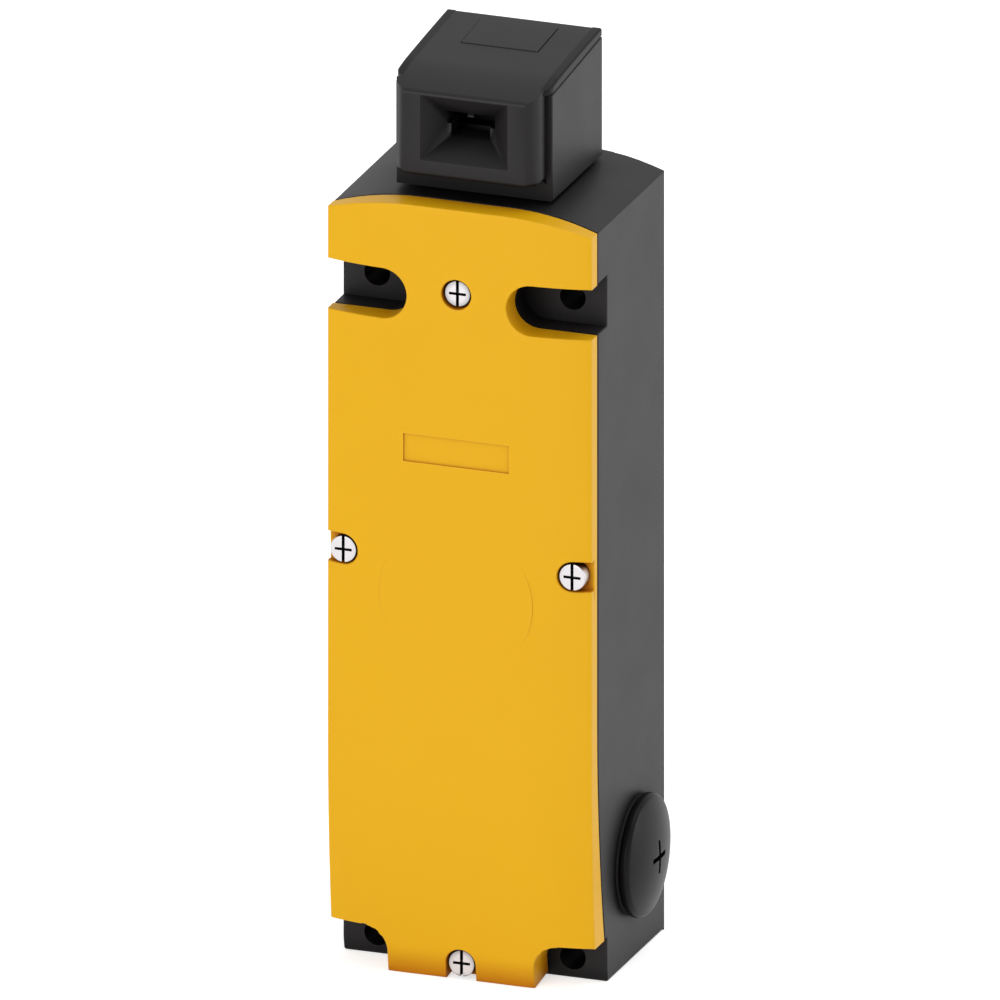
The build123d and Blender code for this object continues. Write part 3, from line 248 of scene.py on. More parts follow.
def buildBrushing():
    # fine lines from rolling, drawing or turning
    group, start, end = newGroup(
        "brushing", [("Along X", 0.05), ("Along Y", 1.0), ("Along Z", 1.0), ("Line mm", 0.12)], ["Height", "Tone"]
    )
    coords = addNode(group, "ShaderNodeTexCoord")
    stretch = addNode(group, "ShaderNodeCombineXYZ")
    scaled = addNode(group, "ShaderNodeVectorMath", operation="MULTIPLY")
    lines = addNode(group, "ShaderNodeTexNoise", [("Detail", 3.0), ("Roughness", 0.65)])
    for place, label in enumerate(("Along X", "Along Y", "Along Z")):
        group.links.new(start.outputs[label], stretch.inputs[place])
    group.links.new(coords.outputs["Object"], scaled.inputs[0])
    group.links.new(stretch.outputs["Vector"], scaled.inputs[1])
    group.links.new(scaled.outputs["Vector"], lines.inputs["Vector"])
    group.links.new(math1(group, "DIVIDE", 1000.0, start.outputs["Line mm"]), lines.inputs["Scale"])
    group.links.new(lines.outputs["Fac"], end.inputs["Height"])
    group.links.new(lines.outputs["Fac"], end.inputs["Tone"])
    return group


grainGroup = buildGrain()
edgeGroup = buildEdge()
paintedShadeGroup = buildPaintedCornerShade()
brushGroup = buildBrushing()
print("shader groups built")


# Materials

def newMaterial(name):
    material = bpy.data.materials.new(name)
    material.use_nodes = True
    shader = material.node_tree.nodes["Principled BSDF"]
    return material, material.node_tree, shader


def placeGroup(tree, group, values=()):
    node = addNode(tree, "ShaderNodeGroup")
    node.node_tree = group
    for label, value in values:
        node.inputs[label].default_value = value
    return node


def mixColour(tree, factor, first, second):
    node = addNode(tree, "ShaderNodeMix", data_type="RGBA")
    for key, value in (("A", first), ("B", second)):
        socket = [s for s in node.inputs if s.name == key and s.type == "RGBA"][0]
        if isinstance(value, tuple):
            socket.default_value = value + (1.0,)
        else:
            tree.links.new(value, socket)
    tree.links.new(factor, node.inputs[0])
    return [s for s in node.outputs if s.type == "RGBA"][0]


def remap(tree, value, low, high):
    node = addNode(tree, "ShaderNodeMapRange")
    node.inputs["To Min"].default_value = low
    node.inputs["To Max"].default_value = high
    tree.links.new(value, node.inputs["Value"])
    return node.outputs["Result"]


def addBump(tree, shader, height, distance, strength):
    bump = addNode(tree, "ShaderNodeBump")
    bump.inputs["Distance"].default_value = distance
    bump.inputs["Strength"].default_value = strength
    tree.links.new(height, bump.inputs["Height"])
    tree.links.new(bump.outputs["Normal"], shader.inputs["Normal"])


# how far the roughness strays, and the reach of the painted corner shade in metal
roughPlan = {
    "patch": 0.05, "rubbed": 0.12, "lineDown": 0.06, "lineUp": 0.08, "metalShadeReachMm": 1.5, "lineBumpMm": 0.02,
}


def mouldedPlastic(name, look):
    # grain and slow unevenness over one plain colour, painted shade darkening the corners, a painted highlight on
    # outer edges, and a gloss that is cut back in the corners as painted shade
    material, tree, shader = newMaterial(name)
    grain = placeGroup(tree, grainGroup, [("Grain mm", look["grainMm"]), ("Patch mm", look["patchMm"])])
    edge = placeGroup(tree, edgeGroup, [("Radius", look["edgeMm"] * mm), ("Gain", look["edgeGain"])])
    corner = placeGroup(tree, paintedShadeGroup, [("Reach", look["cornerShadeMm"] * mm)])
    colour = mixColour(tree, remap(tree, grain.outputs["Patch"], 0.0, 1.0), look["colour"], look["colourPatch"])
    # painted shade: the colour darkens where the occlusion mask finds corners and recesses
    colour = mixColour(tree, math1(tree, "MULTIPLY", corner.outputs["Mask"], look["cornerShadeShare"], clamp=True),
                       colour, look["colourCornerShade"])
    # painted highlight: the colour lightens along outer edges
    colour = mixColour(tree, math1(tree, "MULTIPLY", edge.outputs["Mask"], look["edgeHighlightShare"], clamp=True),
                       colour, look["colourEdgeHighlight"])
    tree.links.new(colour, shader.inputs["Base Color"])
    low, high = look["rough"] - roughPlan["patch"], look["rough"] + roughPlan["patch"]
    uneven = remap(tree, grain.outputs["Patch"], low, high)
    rubbed = math1(tree, "MULTIPLY", edge.outputs["Mask"], roughPlan["rubbed"])
    tree.links.new(math1(tree, "SUBTRACT", uneven, rubbed, clamp=True), shader.inputs["Roughness"])
    shader.inputs["Specular IOR Level"].default_value = look["specular"]
    # painted shade: the coat's gloss is cut back where the occlusion mask finds corners
    glossShadeCut = math1(tree, "MULTIPLY", corner.outputs["Mask"], look["cornerGlossShade"])
    gloss = math1(tree, "SUBTRACT", 1.0, glossShadeCut, clamp=True)
    tree.links.new(math1(tree, "MULTIPLY", gloss, look["coat"]), shader.inputs["Coat Weight"])
    shader.inputs["Coat Roughness"].default_value = look["coatRough"]
    addBump(tree, shader, grain.outputs["Height"], look["bumpMm"] * mm, look["bump"])
    return material


def plainMetal(name, look):
    # rolled, drawn or plated metal with fine lines
    material, tree, shader = newMaterial(name)
    lines = placeGroup(tree, brushGroup, look["lines"])
    corner = placeGroup(tree, paintedShadeGroup, [("Reach", roughPlan["metalShadeReachMm"] * mm)])
    colour = mixColour(tree, remap(tree, lines.outputs["Tone"], 0.0, 1.0), look["colour"], look["colourLine"])
    # painted shade: the metal's colour darkens where the occlusion mask finds corners and recesses
    colour = mixColour(tree, math1(tree, "MULTIPLY", corner.outputs["Mask"], look["cornerShadeShare"], clamp=True),
                       colour, look["colourCornerShade"])
    tree.links.new(colour, shader.inputs["Base Color"])
    low, high = look["rough"] - roughPlan["lineDown"], look["rough"] + roughPlan["lineUp"]
    tree.links.new(remap(tree, lines.outputs["Tone"], low, high), shader.inputs["Roughness"])
    shader.inputs["Metallic"].default_value = 1.0
    addBump(tree, shader, lines.outputs["Height"], roughPlan["lineBumpMm"] * mm, look["bump"])
    return material


# each look's corner colour is painted shade, and its edge colour is a painted highlight
blackLook = {
    "colour": (0.0128, 0.0115, 0.0128), "colourPatch": (0.0145, 0.0130, 0.0145),
    "colourCornerShade": (0.0025, 0.0023, 0.0025), "colourEdgeHighlight": (0.035, 0.033, 0.035),
    "cornerShadeShare": 1.4, "edgeHighlightShare": 0.4, "cornerShadeMm": 8.0, "edgeMm": 0.45, "edgeGain": 3.0,
    "grainMm": 0.28, "patchMm": 11.0, "rough": 0.5, "specular": 0.12, "bumpMm": 0.03, "bump": 0.3,
    "coat": 0.16, "coatRough": 0.42, "cornerGlossShade": 1.5,
}
headLook = dict(blackLook, grainMm=0.24, coatRough=0.38, coat=0.14)
plugLook = dict(blackLook, colour=(0.0062, 0.0055, 0.0064), colourPatch=(0.0075, 0.0067, 0.0077), rough=0.4,
                grainMm=0.35, bump=0.15, specular=0.06, coat=0.1, coatRough=0.3, cornerShadeMm=6.0)
yellowLook = {
    "colour": (0.79, 0.422, 0.004), "colourPatch": (0.77, 0.405, 0.004),
    "colourCornerShade": (0.46, 0.13, 0.001), "colourEdgeHighlight": (0.86, 0.50, 0.05),
    "cornerShadeShare": 1.6, "edgeHighlightShare": 0.45, "cornerShadeMm": 6.0, "edgeMm": 0.4, "edgeGain": 3.0,
    "grainMm": 0.3, "patchMm": 14.0, "rough": 0.5, "specular": 0.1, "bumpMm": 0.03, "bump": 0.2,
    "coat": 0.2, "coatRough": 0.28, "cornerGlossShade": 1.5,
}
greyLook = dict(blackLook, colour=(0.33, 0.34, 0.35), colourPatch=(0.36, 0.37, 0.38),
                colourCornerShade=(0.13, 0.13, 0.14), colourEdgeHighlight=(0.48, 0.49, 0.5), cornerShadeShare=0.7)
whiteLook = dict(blackLook, colour=(0.74, 0.73, 0.70), colourPatch=(0.78, 0.77, 0.74),
                 colourCornerShade=(0.42, 0.40, 0.37), colourEdgeHighlight=(0.85, 0.84, 0.82), cornerShadeShare=0.7)
rubberLook = dict(blackLook, colour=(0.014, 0.014, 0.014), colourPatch=(0.02, 0.02, 0.02), rough=0.7,
                  specular=0.3, bump=0.6, grainMm=0.4, coat=0.0)
zincLook = {
    "colour": (0.56, 0.54, 0.55), "colourLine": (0.48, 0.46, 0.47), "colourCornerShade": (0.012, 0.011, 0.011),
    "cornerShadeShare": 2.2, "rough": 0.36, "bump": 0.12,
    "lines": [("Along X", 1.0), ("Along Y", 1.0), ("Along Z", 1.0), ("Line mm", 0.3)],
}
steelLook = dict(zincLook, colour=(0.50, 0.50, 0.51), colourLine=(0.42, 0.42, 0.43), rough=0.34, bump=0.3,
                 cornerShadeShare=0.8,
                 lines=[("Along X", 1.0), ("Along Y", 1.0), ("Along Z", 0.06), ("Line mm", 0.15)])
# steel darkened to near black as painted shade, so the cam inside the head's slot reads dark
steelDarkAsShadeLook = dict(steelLook, colour=(0.012, 0.012, 0.013), colourLine=(0.008, 0.008, 0.009), rough=0.55)
springLook = dict(steelLook, colour=(0.56, 0.55, 0.53), rough=0.28)
brassLook = dict(steelLook, colour=(0.76, 0.56, 0.26), colourLine=(0.66, 0.47, 0.20), rough=0.3,
                 colourCornerShade=(0.14, 0.08, 0.03),
                 lines=[("Along X", 0.06), ("Along Y", 1.0), ("Along Z", 1.0), ("Line mm", 0.15)])


windingLook = {
    "wireMm": 0.55, "colour": (0.46, 0.15, 0.045), "grooveShade": (0.10, 0.025, 0.008),
    "metallic": 0.7, "rough": 0.3, "bumpMm": 0.2, "bump": 0.8, "wavePace": 20.0,
}


def windingMaterial(look):
    # enamelled wire laid turn by turn round the bobbin
    material, tree, shader = newMaterial("copperWinding")
    coords = addNode(tree, "ShaderNodeTexCoord")
    turns = addNode(tree, "ShaderNodeTexWave", wave_type="BANDS", bands_direction="X")
    turns.inputs["Scale"].default_value = 1000.0 / look["wireMm"] / look["wavePace"]
    tree.links.new(coords.outputs["Object"], turns.inputs["Vector"])
    # painted shade: the colour darkens in the grooves between turns
    colour = mixColour(tree, turns.outputs["Fac"], look["grooveShade"], look["colour"])
    tree.links.new(colour, shader.inputs["Base Color"])
    shader.inputs["Metallic"].default_value = look["metallic"]
    shader.inputs["Roughness"].default_value = look["rough"]
    addBump(tree, shader, turns.outputs["Fac"], look["bumpMm"] * mm, look["bump"])
    return material


finishes = {
    "black_plastic": mouldedPlastic("blackHousingPlastic", blackLook),
    "yellow_plastic": mouldedPlastic("yellowCoverPlastic", yellowLook),
    "grey_plastic": mouldedPlastic("greyCarrierPlastic", greyLook),
    "white_plastic": mouldedPlastic("whiteContactPlastic", whiteLook),
    "seal_rubber": mouldedPlastic("sealRubber", rubberLook),
    "zinc_steel": plainMetal("zincPlatedSteel", zincLook),
    "steel_part": plainMetal("punchedSteel", steelLook),
    "spring_steel": plainMetal("springWire", springLook),
    "brass_part": plainMetal("contactBrass", brassLook),
    "coil_wire": windingMaterial(windingLook),
}
headPlastic = mouldedPlastic("blackHeadPlastic", headLook)
plugPlastic = mouldedPlastic("blackPlugPlastic", plugLook)
steelDarkenedAsShade = plainMetal("steelDarkenedAsShade", steelDarkAsShadeLook)
print("materials built")

slotOfNode = {part["node"]: part["material_slot"] for part in frame["record"]["subparts"]}


def finishFor(nodeName):
    if nodeName in ("head_housing", "top_slot_cover"):
        return headPlastic
    if nodeName.startswith("blanking_plug"):
        return plugPlastic
    # the cam and its axle take the near-black steel, painted shade inside the slot
    if nodeName in ("cam_wheel", "cam_axle"):
        return steelDarkenedAsShade
    return finishes[slotOfNode[nodeName]]


def giveFinish(piece, nodeName):
    piece.data.materials.clear()
    piece.data.materials.append(finishFor(nodeName))


for nodeName, node in frame["nodes"].items():
    for slot in node.material_slots:
        slot.material = finishFor(nodeName)
print("CAD nodes have their finishes")


# Moulded pieces with rounded edges

bodyOfNode = {name: body for body, names in frame["record"]["behaviour"]["bodies"].items() for name in names}


def takePlace(piece, nodeName):
    # the piece stands for its CAD node: finish, body and all
    giveFinish(piece, nodeName)
    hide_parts(nodeName)
    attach(piece, bodyOfNode[nodeName])


def dress(nodeName, pieceName, plan, wanted, crisp=None):
    piece = mergedCopy(nodeName, pieceName)
    roundEdges(piece, plan["round"] * mm, wanted, least=plan["least"])
    smoothBy(piece, plan["smooth"], crisp)
    takePlace(piece, nodeName)


def edgeMiddle(edge):
    return (edge.verts[0].co + edge.verts[1].co) / 2 / mm


# round is in mm, fine is the share of it that small edges get; least and smooth are angles in degrees
housingPlan = {
    "round": 0.6, "fine": 0.5, "least": 35, "smooth": 30, "plug": (5.65, 20.7), "plugR": 12.2, "entryR": 10.5,
    "side": 26.0, "wall": 26.5, "back": 21.0, "foot": 0.2, "holesBetween": (1.0, 150.0), "archFrom": 157.0,
    "longEdge": 20,
}
coverPlan = {"round": 0.3, "least": 35, "smooth": 30, "frontFrom": -17.0, "faceOut": -0.5}
headPlan = {
    "round": 0.9, "fine": 0.35, "least": 60, "smooth": 52, "nose": -17.45, "funnelHalf": 9.2, "funnelFrom": 165.0,
    "noseFoot": 162.8, "footFrom": -11.0, "side": 15.9, "back": 16.0, "near": 0.1, "mouthNear": 0.05,
}


def housingOutside(edge):
    plan, middle = housingPlan, edgeMiddle(edge)
    plugY, plugZ = plan["plug"]
    low, high = plan["holesBetween"]
    atWall, atBack, atFoot = abs(middle.x) > plan["wall"], middle.y > plan["back"], middle.z < plan["foot"]
    # the mouths of the cable entries and of the holes in the back stay sharp
    if atWall and math.hypot(middle.y - plugY, middle.z - plugZ) < plan["plugR"]:
        return 0.0
    if atFoot and math.hypot(middle.x, middle.y - plugY) < plan["entryR"]:
        return 0.0
    if atBack and abs(middle.x) < plan["wall"] and low < middle.z < high:
        return 0.0
    if abs(middle.x) > plan["side"] or atBack or atFoot:
        isLong = abs((edge.verts[0].co - edge.verts[1].co).z) > plan["longEdge"] * mm
        return 1.0 if isLong or atFoot else plan["fine"]
    return plan["fine"] if middle.z > plan["archFrom"] else 0.0


def coverOutside(edge):
    outward = any(face.normal.y < coverPlan["faceOut"] for face in edge.link_faces)
    return 1.0 if outward and edgeMiddle(edge).y < coverPlan["frontFrom"] else 0.0


def headOutside(edge):
    plan, middle = headPlan, edgeMiddle(edge)
    if middle.y < plan["nose"] + plan["near"] and abs(middle.x) < plan["funnelHalf"]:
        return 1.0 if middle.z < plan["noseFoot"] + plan["near"] else 0.0
    if abs(middle.z - plan["noseFoot"]) < plan["near"] and middle.y < plan["footFrom"]:
        return 1.0
    if abs(middle.x) > plan["side"] or middle.y > plan["back"]:
        return plan["fine"]
    return 0.0


def funnelMouth(place):
    plan = headPlan
    atFront = place.y < plan["nose"] + plan["mouthNear"]
    return atFront and abs(place.x) < plan["funnelHalf"] and place.z > plan["funnelFrom"]


dress("base_housing", "blackHousing", housingPlan, housingOutside)
dress("front_cover", "yellowCover", coverPlan, coverOutside)
dress("head_housing", "turningHead", headPlan, headOutside, funnelMouth)
print("moulded pieces dressed")


# The hood's overhanging edge, left and right

hoodEdgePlan = {
    "inner": 14.0, "outer": 15.85, "tip": 14.55, "back": 16.6, "front": -13.0, "taperFrom": -10.6, "round": 1.2,
    "segments": 5, "gap": 0.2, "leastHigh": 0.2, "proud": 0.02, "highest": 184.5, "cuts": 27, "smooth": 40,
}
# two gentle arcs, the flat of the roof and its fall towards the nose, and the straight top of the sides
roofPlan = {
    "back": 16.65, "top": 184.5, "slope": 0.0699, "curve": 0.000617,
    "fallFrom": -6.0, "fallTop": 182.6, "fallSlope": 0.0981, "fallCurve": 0.01048,
    "sideFrom": -11.5, "sideLow": 180.3, "sideRise": 2.55, "sideRun": 28.15,
}


def roofHeight(y):
    plan = roofPlan
    if y > plan["fallFrom"]:
        away = plan["back"] - y
        return plan["top"] - plan["slope"] * away - plan["curve"] * away ** 2
    away = plan["fallFrom"] - y
    return plan["fallTop"] - plan["fallSlope"] * away - plan["fallCurve"] * away ** 2


def sideHeight(y):
    return roofPlan["sideLow"] + (y - roofPlan["sideFrom"]) * roofPlan["sideRise"] / roofPlan["sideRun"]


def hoodPlace(corner, side, plan):
    # where a point of the unit box goes, in mm
    y = plan["front"] + (corner.y + 0.5) * (plan["back"] - plan["front"])
    into = min(max((plan["taperFrom"] - y) / (plan["taperFrom"] - plan["front"]), 0.0), 1.0)
    outer = plan["outer"] - (plan["outer"] - plan["tip"]) * into ** 2
    top = min(roofHeight(y) + plan["proud"], plan["highest"])
    foot = min(max(sideHeight(y), roofPlan["sideLow"]) + plan["gap"], top - plan["leastHigh"])
    x = (outer if corner.x > 0 else plan["inner"]) * side
    return Vector((x, y, top if corner.z > 0 else foot))


def makeHoodEdge(name, side, plan):
    nothingSelected()
    bpy.ops.mesh.primitive_cube_add(size=1, location=(0, 0, 0))
    piece = bpy.context.active_object
    piece.name = name
    bpy.ops.object.mode_set(mode="EDIT")
    bpy.ops.mesh.select_all(action="DESELECT")
    work = bmesh.from_edit_mesh(piece.data)
    for edge in work.edges:
        edge.select_set(abs(edge.verts[0].co.y - edge.verts[1].co.y) > 0.5)
    bpy.ops.mesh.subdivide(number_cuts=plan["cuts"])
    bpy.ops.object.mode_set(mode="OBJECT")
    for vert in piece.data.vertices:
        vert.co = hoodPlace(vert.co, side, plan) * mm
    work = bmesh.new()
    work.from_mesh(piece.data)
    bmesh.ops.recalc_face_normals(work, faces=work.faces)
    weights = work.edges.layers.float.new("bevel_weight_edge")
    for edge in work.edges:
        ends = [vert.co / mm for vert in edge.verts]
        if all(abs(end.x) > plan["tip"] - 0.05 and end.z > roofHeight(end.y) - 0.1 for end in ends):
            edge[weights] = 1.0
    work.to_mesh(piece.data)
    work.free()
    bevel = piece.modifiers.new("roundedEdge", "BEVEL")
    bevel.limit_method = "WEIGHT"
    bevel.width = plan["round"] * mm
    bevel.segments = plan["segments"]
    applyModifiers(piece)
    smoothBy(piece, plan["smooth"])
    piece.data.materials.clear()
    piece.data.materials.append(plugPlastic)
    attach(piece, "head")


for side, name in ((-1, "hoodEdgeLeft"), (1, "hoodEdgeRight")):
    makeHoodEdge(name, side, hoodEdgePlan)
print("hood edges made")


# Lid of the second tongue slot, a touch proud of the roof

lidPlan = {
    "proud": 0.14, "round": 0.12, "upperFrom": 182.5, "highest": 184.5, "segments": 2, "least": 60, "smooth": 30,
}


def makeLid(plan):
    piece = mergedCopy("top_slot_cover", "roofLid")
    roundEdges(piece, plan["round"] * mm, lambda edge: 1.0 if edgeMiddle(edge).z > plan["upperFrom"] else 0.0,
               plan["segments"], plan["least"])
    for vert in piece.data.vertices:
        vert.co.z = min(vert.co.z + plan["proud"] * mm, plan["highest"] * mm)
    smoothBy(piece, plan["smooth"])
    takePlace(piece, "top_slot_cover")


makeLid(lidPlan)
print("roof lid made")


# Cover screws, with a slot and a cross in the head

# each place gives x, how far the head's face lies behind the cover's front, and z
screwPlan = {
    "places": ((0.0, 0.8, 141.0), (23.4, 0.9, 85.85), (-23.4, 0.9, 85.85), (0.0, 3.1, 3.3)), "front": -21.75,
    "headAround": 64, "shankAround": 32, "overlap": 0.05, "edgeSegments": 3, "smooth": 35, "cutBeyond": 1,
    "headR": 2.7, "headHigh": 2.7, "shankR": 1.5, "shankLong": 9.0, "edge": 0.22,
    "slotWide": 0.62, "slotDeep": 1.3, "crossLong": 3.5, "crossWide": 0.55,
}


def addBox(low, high):
    nothingSelected()
    size = [(b - a) * mm for a, b in zip(low, high)]
    middle = [(a + b) / 2 * mm for a, b in zip(low, high)]
    bpy.ops.mesh.primitive_cube_add(size=1, location=middle, scale=size)
    settle(bpy.context.active_object)
    return bpy.context.active_object


def addRod(radius, front, back, vertices):
    nothingSelected()
    bpy.ops.mesh.primitive_cylinder_add(
        vertices=vertices, radius=radius * mm, depth=(back - front) * mm,
        location=(0, (front + back) / 2 * mm, 0), rotation=(math.radians(90), 0, 0))
    settle(bpy.context.active_object)
    return bpy.context.active_object


def makeScrew(plan):
    # modelled at the origin, its head's face at y = 0
    head = addRod(plan["headR"], 0, plan["headHigh"], plan["headAround"])
    bpy.ops.object.mode_set(mode="EDIT")
    bpy.ops.mesh.select_all(action="DESELECT")
    work = bmesh.from_edit_mesh(head.data)
    for edge in work.edges:
        edge.select_set(all(vert.co.y < 0.01 * mm for vert in edge.verts))
    bpy.ops.mesh.bevel(offset=plan["edge"] * mm, segments=plan["edgeSegments"])
    bpy.ops.object.mode_set(mode="OBJECT")
    beyond = plan["cutBeyond"]
    reach, wide = plan["headR"] + beyond, plan["slotWide"] / 2
    cutAway(head, addBox((-wide, -beyond, -reach), (wide, plan["slotDeep"], reach)))
    reach, wide = plan["crossLong"] / 2, plan["crossWide"] / 2
    cutAway(head, addBox((-reach, -beyond, -wide), (reach, plan["slotDeep"], wide)))
    shankEnd = plan["headHigh"] + plan["shankLong"]
    shank = addRod(plan["shankR"], plan["headHigh"] - plan["overlap"], shankEnd, plan["shankAround"])
    lookOnlyAt(head)
    shank.select_set(True)
    bpy.ops.object.join()
    return head


def placeScrews(plan):
    model = makeScrew(plan)
    copies = []
    for x, sink, z in plan["places"]:
        copy = model.copy()
        copy.data = model.data.copy()
        bpy.context.scene.collection.objects.link(copy)
        copy.location = (x * mm, (plan["front"] + sink) * mm, z * mm)
        settle(copy)
        copies.append(copy)
    bpy.data.objects.remove(model)
    lookOnlyAt(copies[0])
    for copy in copies:
        copy.select_set(True)
    bpy.ops.object.join()
    screws = bpy.context.active_object
    screws.name = "coverScrews"
    smoothBy(screws, plan["smooth"])
    takePlace(screws, "cover_screws")


placeScrews(screwPlan)
print("cover screws made")


# Blanking plugs: a domed cap with a soft rim, and a cross for the driver

# stubEnd, seat and top are measured outwards from the housing's wall
plugPlan = {
    "wall": 27.0, "y": 5.65, "z": 20.7, "stubR": 9.15, "stubEnd": -7.0, "seat": 0.5, "rimR": 12.2, "rimRound": 1.2,
    "footRound": 0.6, "top": 4.79, "domeR": 33.4, "crossLong": 6.8, "crossWide": 1.0, "crossDeep": 1.5,
    "around": 96, "footSteps": 4, "rimSteps": 6, "domeSteps": 12, "smooth": 35, "cutBeyond": 1,
}


def plugProfile(plan):
    # radius and distance from the housing's wall, from the stub's end to the top of the dome
    points = [(plan["stubR"], plan["stubEnd"]), (plan["stubR"], plan["seat"])]
    foot, rim, dome, top = plan["footRound"], plan["rimRound"], plan["domeR"], plan["top"]
    for step in range(plan["footSteps"] + 1):
        turn = math.radians(-90 + 90 / plan["footSteps"] * step)
        points.append((plan["rimR"] - foot + foot * math.cos(turn), plan["seat"] + foot + foot * math.sin(turn)))
    # the rim's rounding runs into the dome where both have the same slope
    lean = math.asin((plan["rimR"] - rim) / (dome - rim))
    corner = top - dome + (dome - rim) * math.cos(lean)
    for step in range(plan["rimSteps"] + 1):
        turn = (math.pi / 2 - lean) * step / plan["rimSteps"]
        points.append((plan["rimR"] - rim + rim * math.cos(turn), corner + rim * math.sin(turn)))
    for step in range(1, plan["domeSteps"]):
        turn = lean * (1 - step / plan["domeSteps"])
        points.append((dome * math.sin(turn), top - dome * (1 - math.cos(turn))))
    return points


def cutCross(piece, side, plan):
    domeTop = plan["wall"] + plan["top"]
    ends = (side * (domeTop + plan["cutBeyond"]), side * (domeTop - plan["crossDeep"]))
    long, wide = plan["crossLong"] / 2, plan["crossWide"] / 2
    for halfY, halfZ in ((long, wide), (wide, long)):
        low = (min(ends), plan["y"] - halfY, plan["z"] - halfZ)
        high = (max(ends), plan["y"] + halfY, plan["z"] + halfZ)
        cutAway(piece, addBox(low, high))


def makePlug(nodeName, pieceName, side, plan):
    nothingSelected()
    points = plugProfile(plan)
    centre = Vector((0, plan["y"] * mm, plan["z"] * mm))
    place = Vector((side * (plan["wall"] + points[0][1]) * mm, centre.y, centre.z))
    bpy.ops.mesh.primitive_circle_add(vertices=plan["around"], radius=points[0][0] * mm, fill_type="NGON",
                                      location=place, rotation=(0, math.radians(90), 0))
    piece = bpy.context.active_object
    piece.name = pieceName
    settle(piece)
    bpy.ops.object.mode_set(mode="EDIT")
    bpy.ops.mesh.select_all(action="SELECT")
    for (radius, along), (nextRadius, nextAlong) in zip(points, points[1:]):
        bpy.ops.mesh.extrude_region_move(
            TRANSFORM_OT_translate={"value": (side * (nextAlong - along) * mm, 0, 0)})
        grow = nextRadius / radius
        bpy.ops.transform.resize(value=(1, grow, grow), center_override=centre)
    bpy.ops.mesh.select_all(action="SELECT")
    bpy.ops.mesh.normals_make_consistent(inside=False)
    bpy.ops.object.mode_set(mode="OBJECT")
    cutCross(piece, side, plan)
    smoothBy(piece, plan["smooth"])
    takePlace(piece, nodeName)


makePlug("blanking_plug_left", "plugLeft", -1, plugPlan)
makePlug("blanking_plug_right", "plugRight", 1, plugPlan)
print("blanking plugs made")


# Thread of the open cable entry in the bottom

threadPlan = {
    "y": 5.65, "wallR": 9.26, "crestR": 8.6, "pitch": 1.5, "halfFoot": 0.46, "turns": 4, "from": 0.7, "around": 72,
    "smooth": 30,
}


def makeThread(plan):
    # a small ridge is screwed upwards round the entry's axis, and its open ends are closed
    nothingSelected()
    bpy.ops.mesh.primitive_circle_add(vertices=3, radius=1, location=(0, 0, 0))
    piece = bpy.context.active_object
    piece.name = "entryThread"
    half = plan["pitch"] * plan["halfFoot"]
    corners = ((plan["wallR"], -half), (plan["crestR"], 0), (plan["wallR"], half))
    for vert, (radius, height) in zip(piece.data.vertices, corners):
        vert.co = Vector((radius, 0, height)) * mm
    screw = piece.modifiers.new("turns", "SCREW")
    screw.angle = math.radians(360)
    screw.screw_offset = plan["pitch"] * mm
    screw.iterations = plan["turns"]
    screw.steps = screw.render_steps = plan["around"]
    screw.use_merge_vertices = True
    applyModifiers(piece)
    piece.location = (0, plan["y"] * mm, (plan["from"] + plan["pitch"] / 2) * mm)
    settle(piece)
    bpy.ops.object.mode_set(mode="EDIT")
    bpy.ops.mesh.select_all(action="SELECT")
    bpy.ops.mesh.remove_doubles(threshold=meshPlan["mergeMm"] * mm)
    bpy.ops.mesh.select_all(action="DESELECT")
    bpy.ops.mesh.select_non_manifold()
    bpy.ops.mesh.edge_face_add()
    bpy.ops.mesh.select_all(action="SELECT")
    bpy.ops.mesh.normals_make_consistent(inside=False)
    bpy.ops.object.mode_set(mode="OBJECT")
    smoothBy(piece, plan["smooth"])
    piece.data.materials.clear()
    piece.data.materials.append(finishes["black_plastic"])
    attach(piece, "base")


makeThread(threadPlan)
print("entry thread made")


# Stage, light and camera

cameraLook = {
    "azimuth": 20.0, "elevation": 20.0, "pixelsPerMm": 5.203, "picture": 1000, "originAt": (494.7, 948.3),
    "distance": 1.4, "clipEnd": 10,
}


def setCamera(look):
    turn, rise = math.radians(look["azimuth"]), math.radians(look["elevation"])
    back = Vector((math.sin(turn) * math.cos(rise), -math.cos(turn) * math.cos(rise), math.sin(rise)))
    right = Vector((math.cos(turn), math.sin(turn), 0))
    up = back.cross(right)
    half = look["picture"] / 2
    aside = (half - look["originAt"][0]) / look["pixelsPerMm"] * mm
    above = (look["originAt"][1] - half) / look["pixelsPerMm"] * mm
    data = bpy.data.cameras.new("pictureCamera")
    data.type = "ORTHO"
    data.ortho_scale = look["picture"] / look["pixelsPerMm"] * mm
    data.clip_end = look["clipEnd"]
    camera = bpy.data.objects.new("pictureCamera", data)
    camera.matrix_world = Matrix((
        (right.x, up.x, back.x, 0), (right.y, up.y, back.y, 0), (right.z, up.z, back.z, 0), (0, 0, 0, 1)))
    camera.location = right * aside + up * above + back * look["distance"]
    bpy.context.scene.collection.objects.link(camera)
    bpy.context.scene.camera = camera


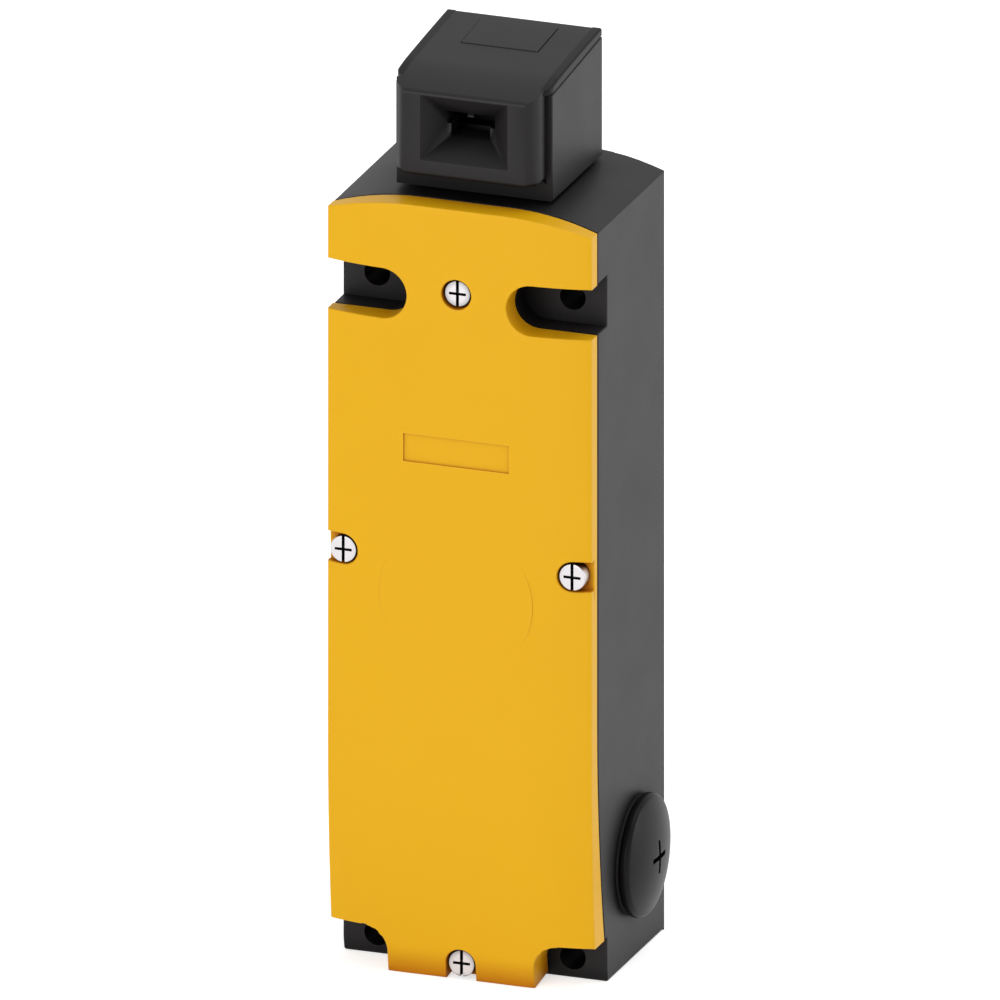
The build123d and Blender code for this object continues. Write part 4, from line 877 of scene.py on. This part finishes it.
lampLooks = {
    "keyPanel": {"place": (-0.25, -1.15, 0.4), "size": (0.8, 0.8), "power": 7.3},
    "sidePanel": {"place": (1.0, 0.45, 0.25), "size": (0.5, 0.7), "power": 5.0},
    "topPanel": {"place": (0.15, 0.1, 1.2), "size": (0.7, 0.7), "power": 4.0},
}
lampAim = Vector((0, 0, 0.09))


def addLamp(name, look):
    data = bpy.data.lights.new(name, "AREA")
    data.shape = "RECTANGLE"
    data.size, data.size_y = look["size"]
    data.energy = look["power"]
    lamp = bpy.data.objects.new(name, data)
    lamp.location = look["place"]
    lamp.rotation_euler = (lampAim - Vector(look["place"])).to_track_quat("-Z", "Y").to_euler()
    bpy.context.scene.collection.objects.link(lamp)


def seenDirectly(tree):
    # one where the camera, a reflection or a clear piece looks at it, so that it shows as white
    path = addNode(tree, "ShaderNodeLightPath")
    mirrored = math1(tree, "ADD", path.outputs["Is Glossy Ray"], path.outputs["Is Transmission Ray"])
    return math1(tree, "ADD", path.outputs["Is Camera Ray"], mirrored, clamp=True)


floorLook = {"size": 12, "colour": (0.86, 0.86, 0.86, 1), "rough": 0.9, "glow": 0.62}


def setStage(look):
    bpy.ops.mesh.primitive_plane_add(size=look["size"], location=(0, 0, 0))
    floor = bpy.context.active_object
    floor.name = "paleFloor"
    material, tree, shader = newMaterial("paleFloorPaint")
    shader.inputs["Base Color"].default_value = look["colour"]
    shader.inputs["Roughness"].default_value = look["rough"]
    tree.links.new(math1(tree, "MULTIPLY", seenDirectly(tree), look["glow"]), shader.inputs["Emission Strength"])
    shader.inputs["Emission Color"].default_value = (1, 1, 1, 1)
    floor.data.materials.append(material)


def setWorld(strength):
    world = bpy.data.worlds.new("whiteSurround")
    bpy.context.scene.world = world
    world.use_nodes = True
    tree = world.node_tree
    surround = tree.nodes["Background"]
    surround.inputs["Color"].default_value = (1, 1, 1, 1)
    amount = addNode(tree, "ShaderNodeMapRange")
    amount.inputs["To Min"].default_value = strength
    amount.inputs["To Max"].default_value = 1.0
    tree.links.new(seenDirectly(tree), amount.inputs["Value"])
    tree.links.new(amount.outputs["Result"], surround.inputs["Strength"])


setCamera(cameraLook)
setStage(floorLook)
setWorld(0.45)
for name, look in lampLooks.items():
    addLamp(name, look)
bpy.context.scene.view_settings.view_transform = "Standard"
print("stage, light and camera set")
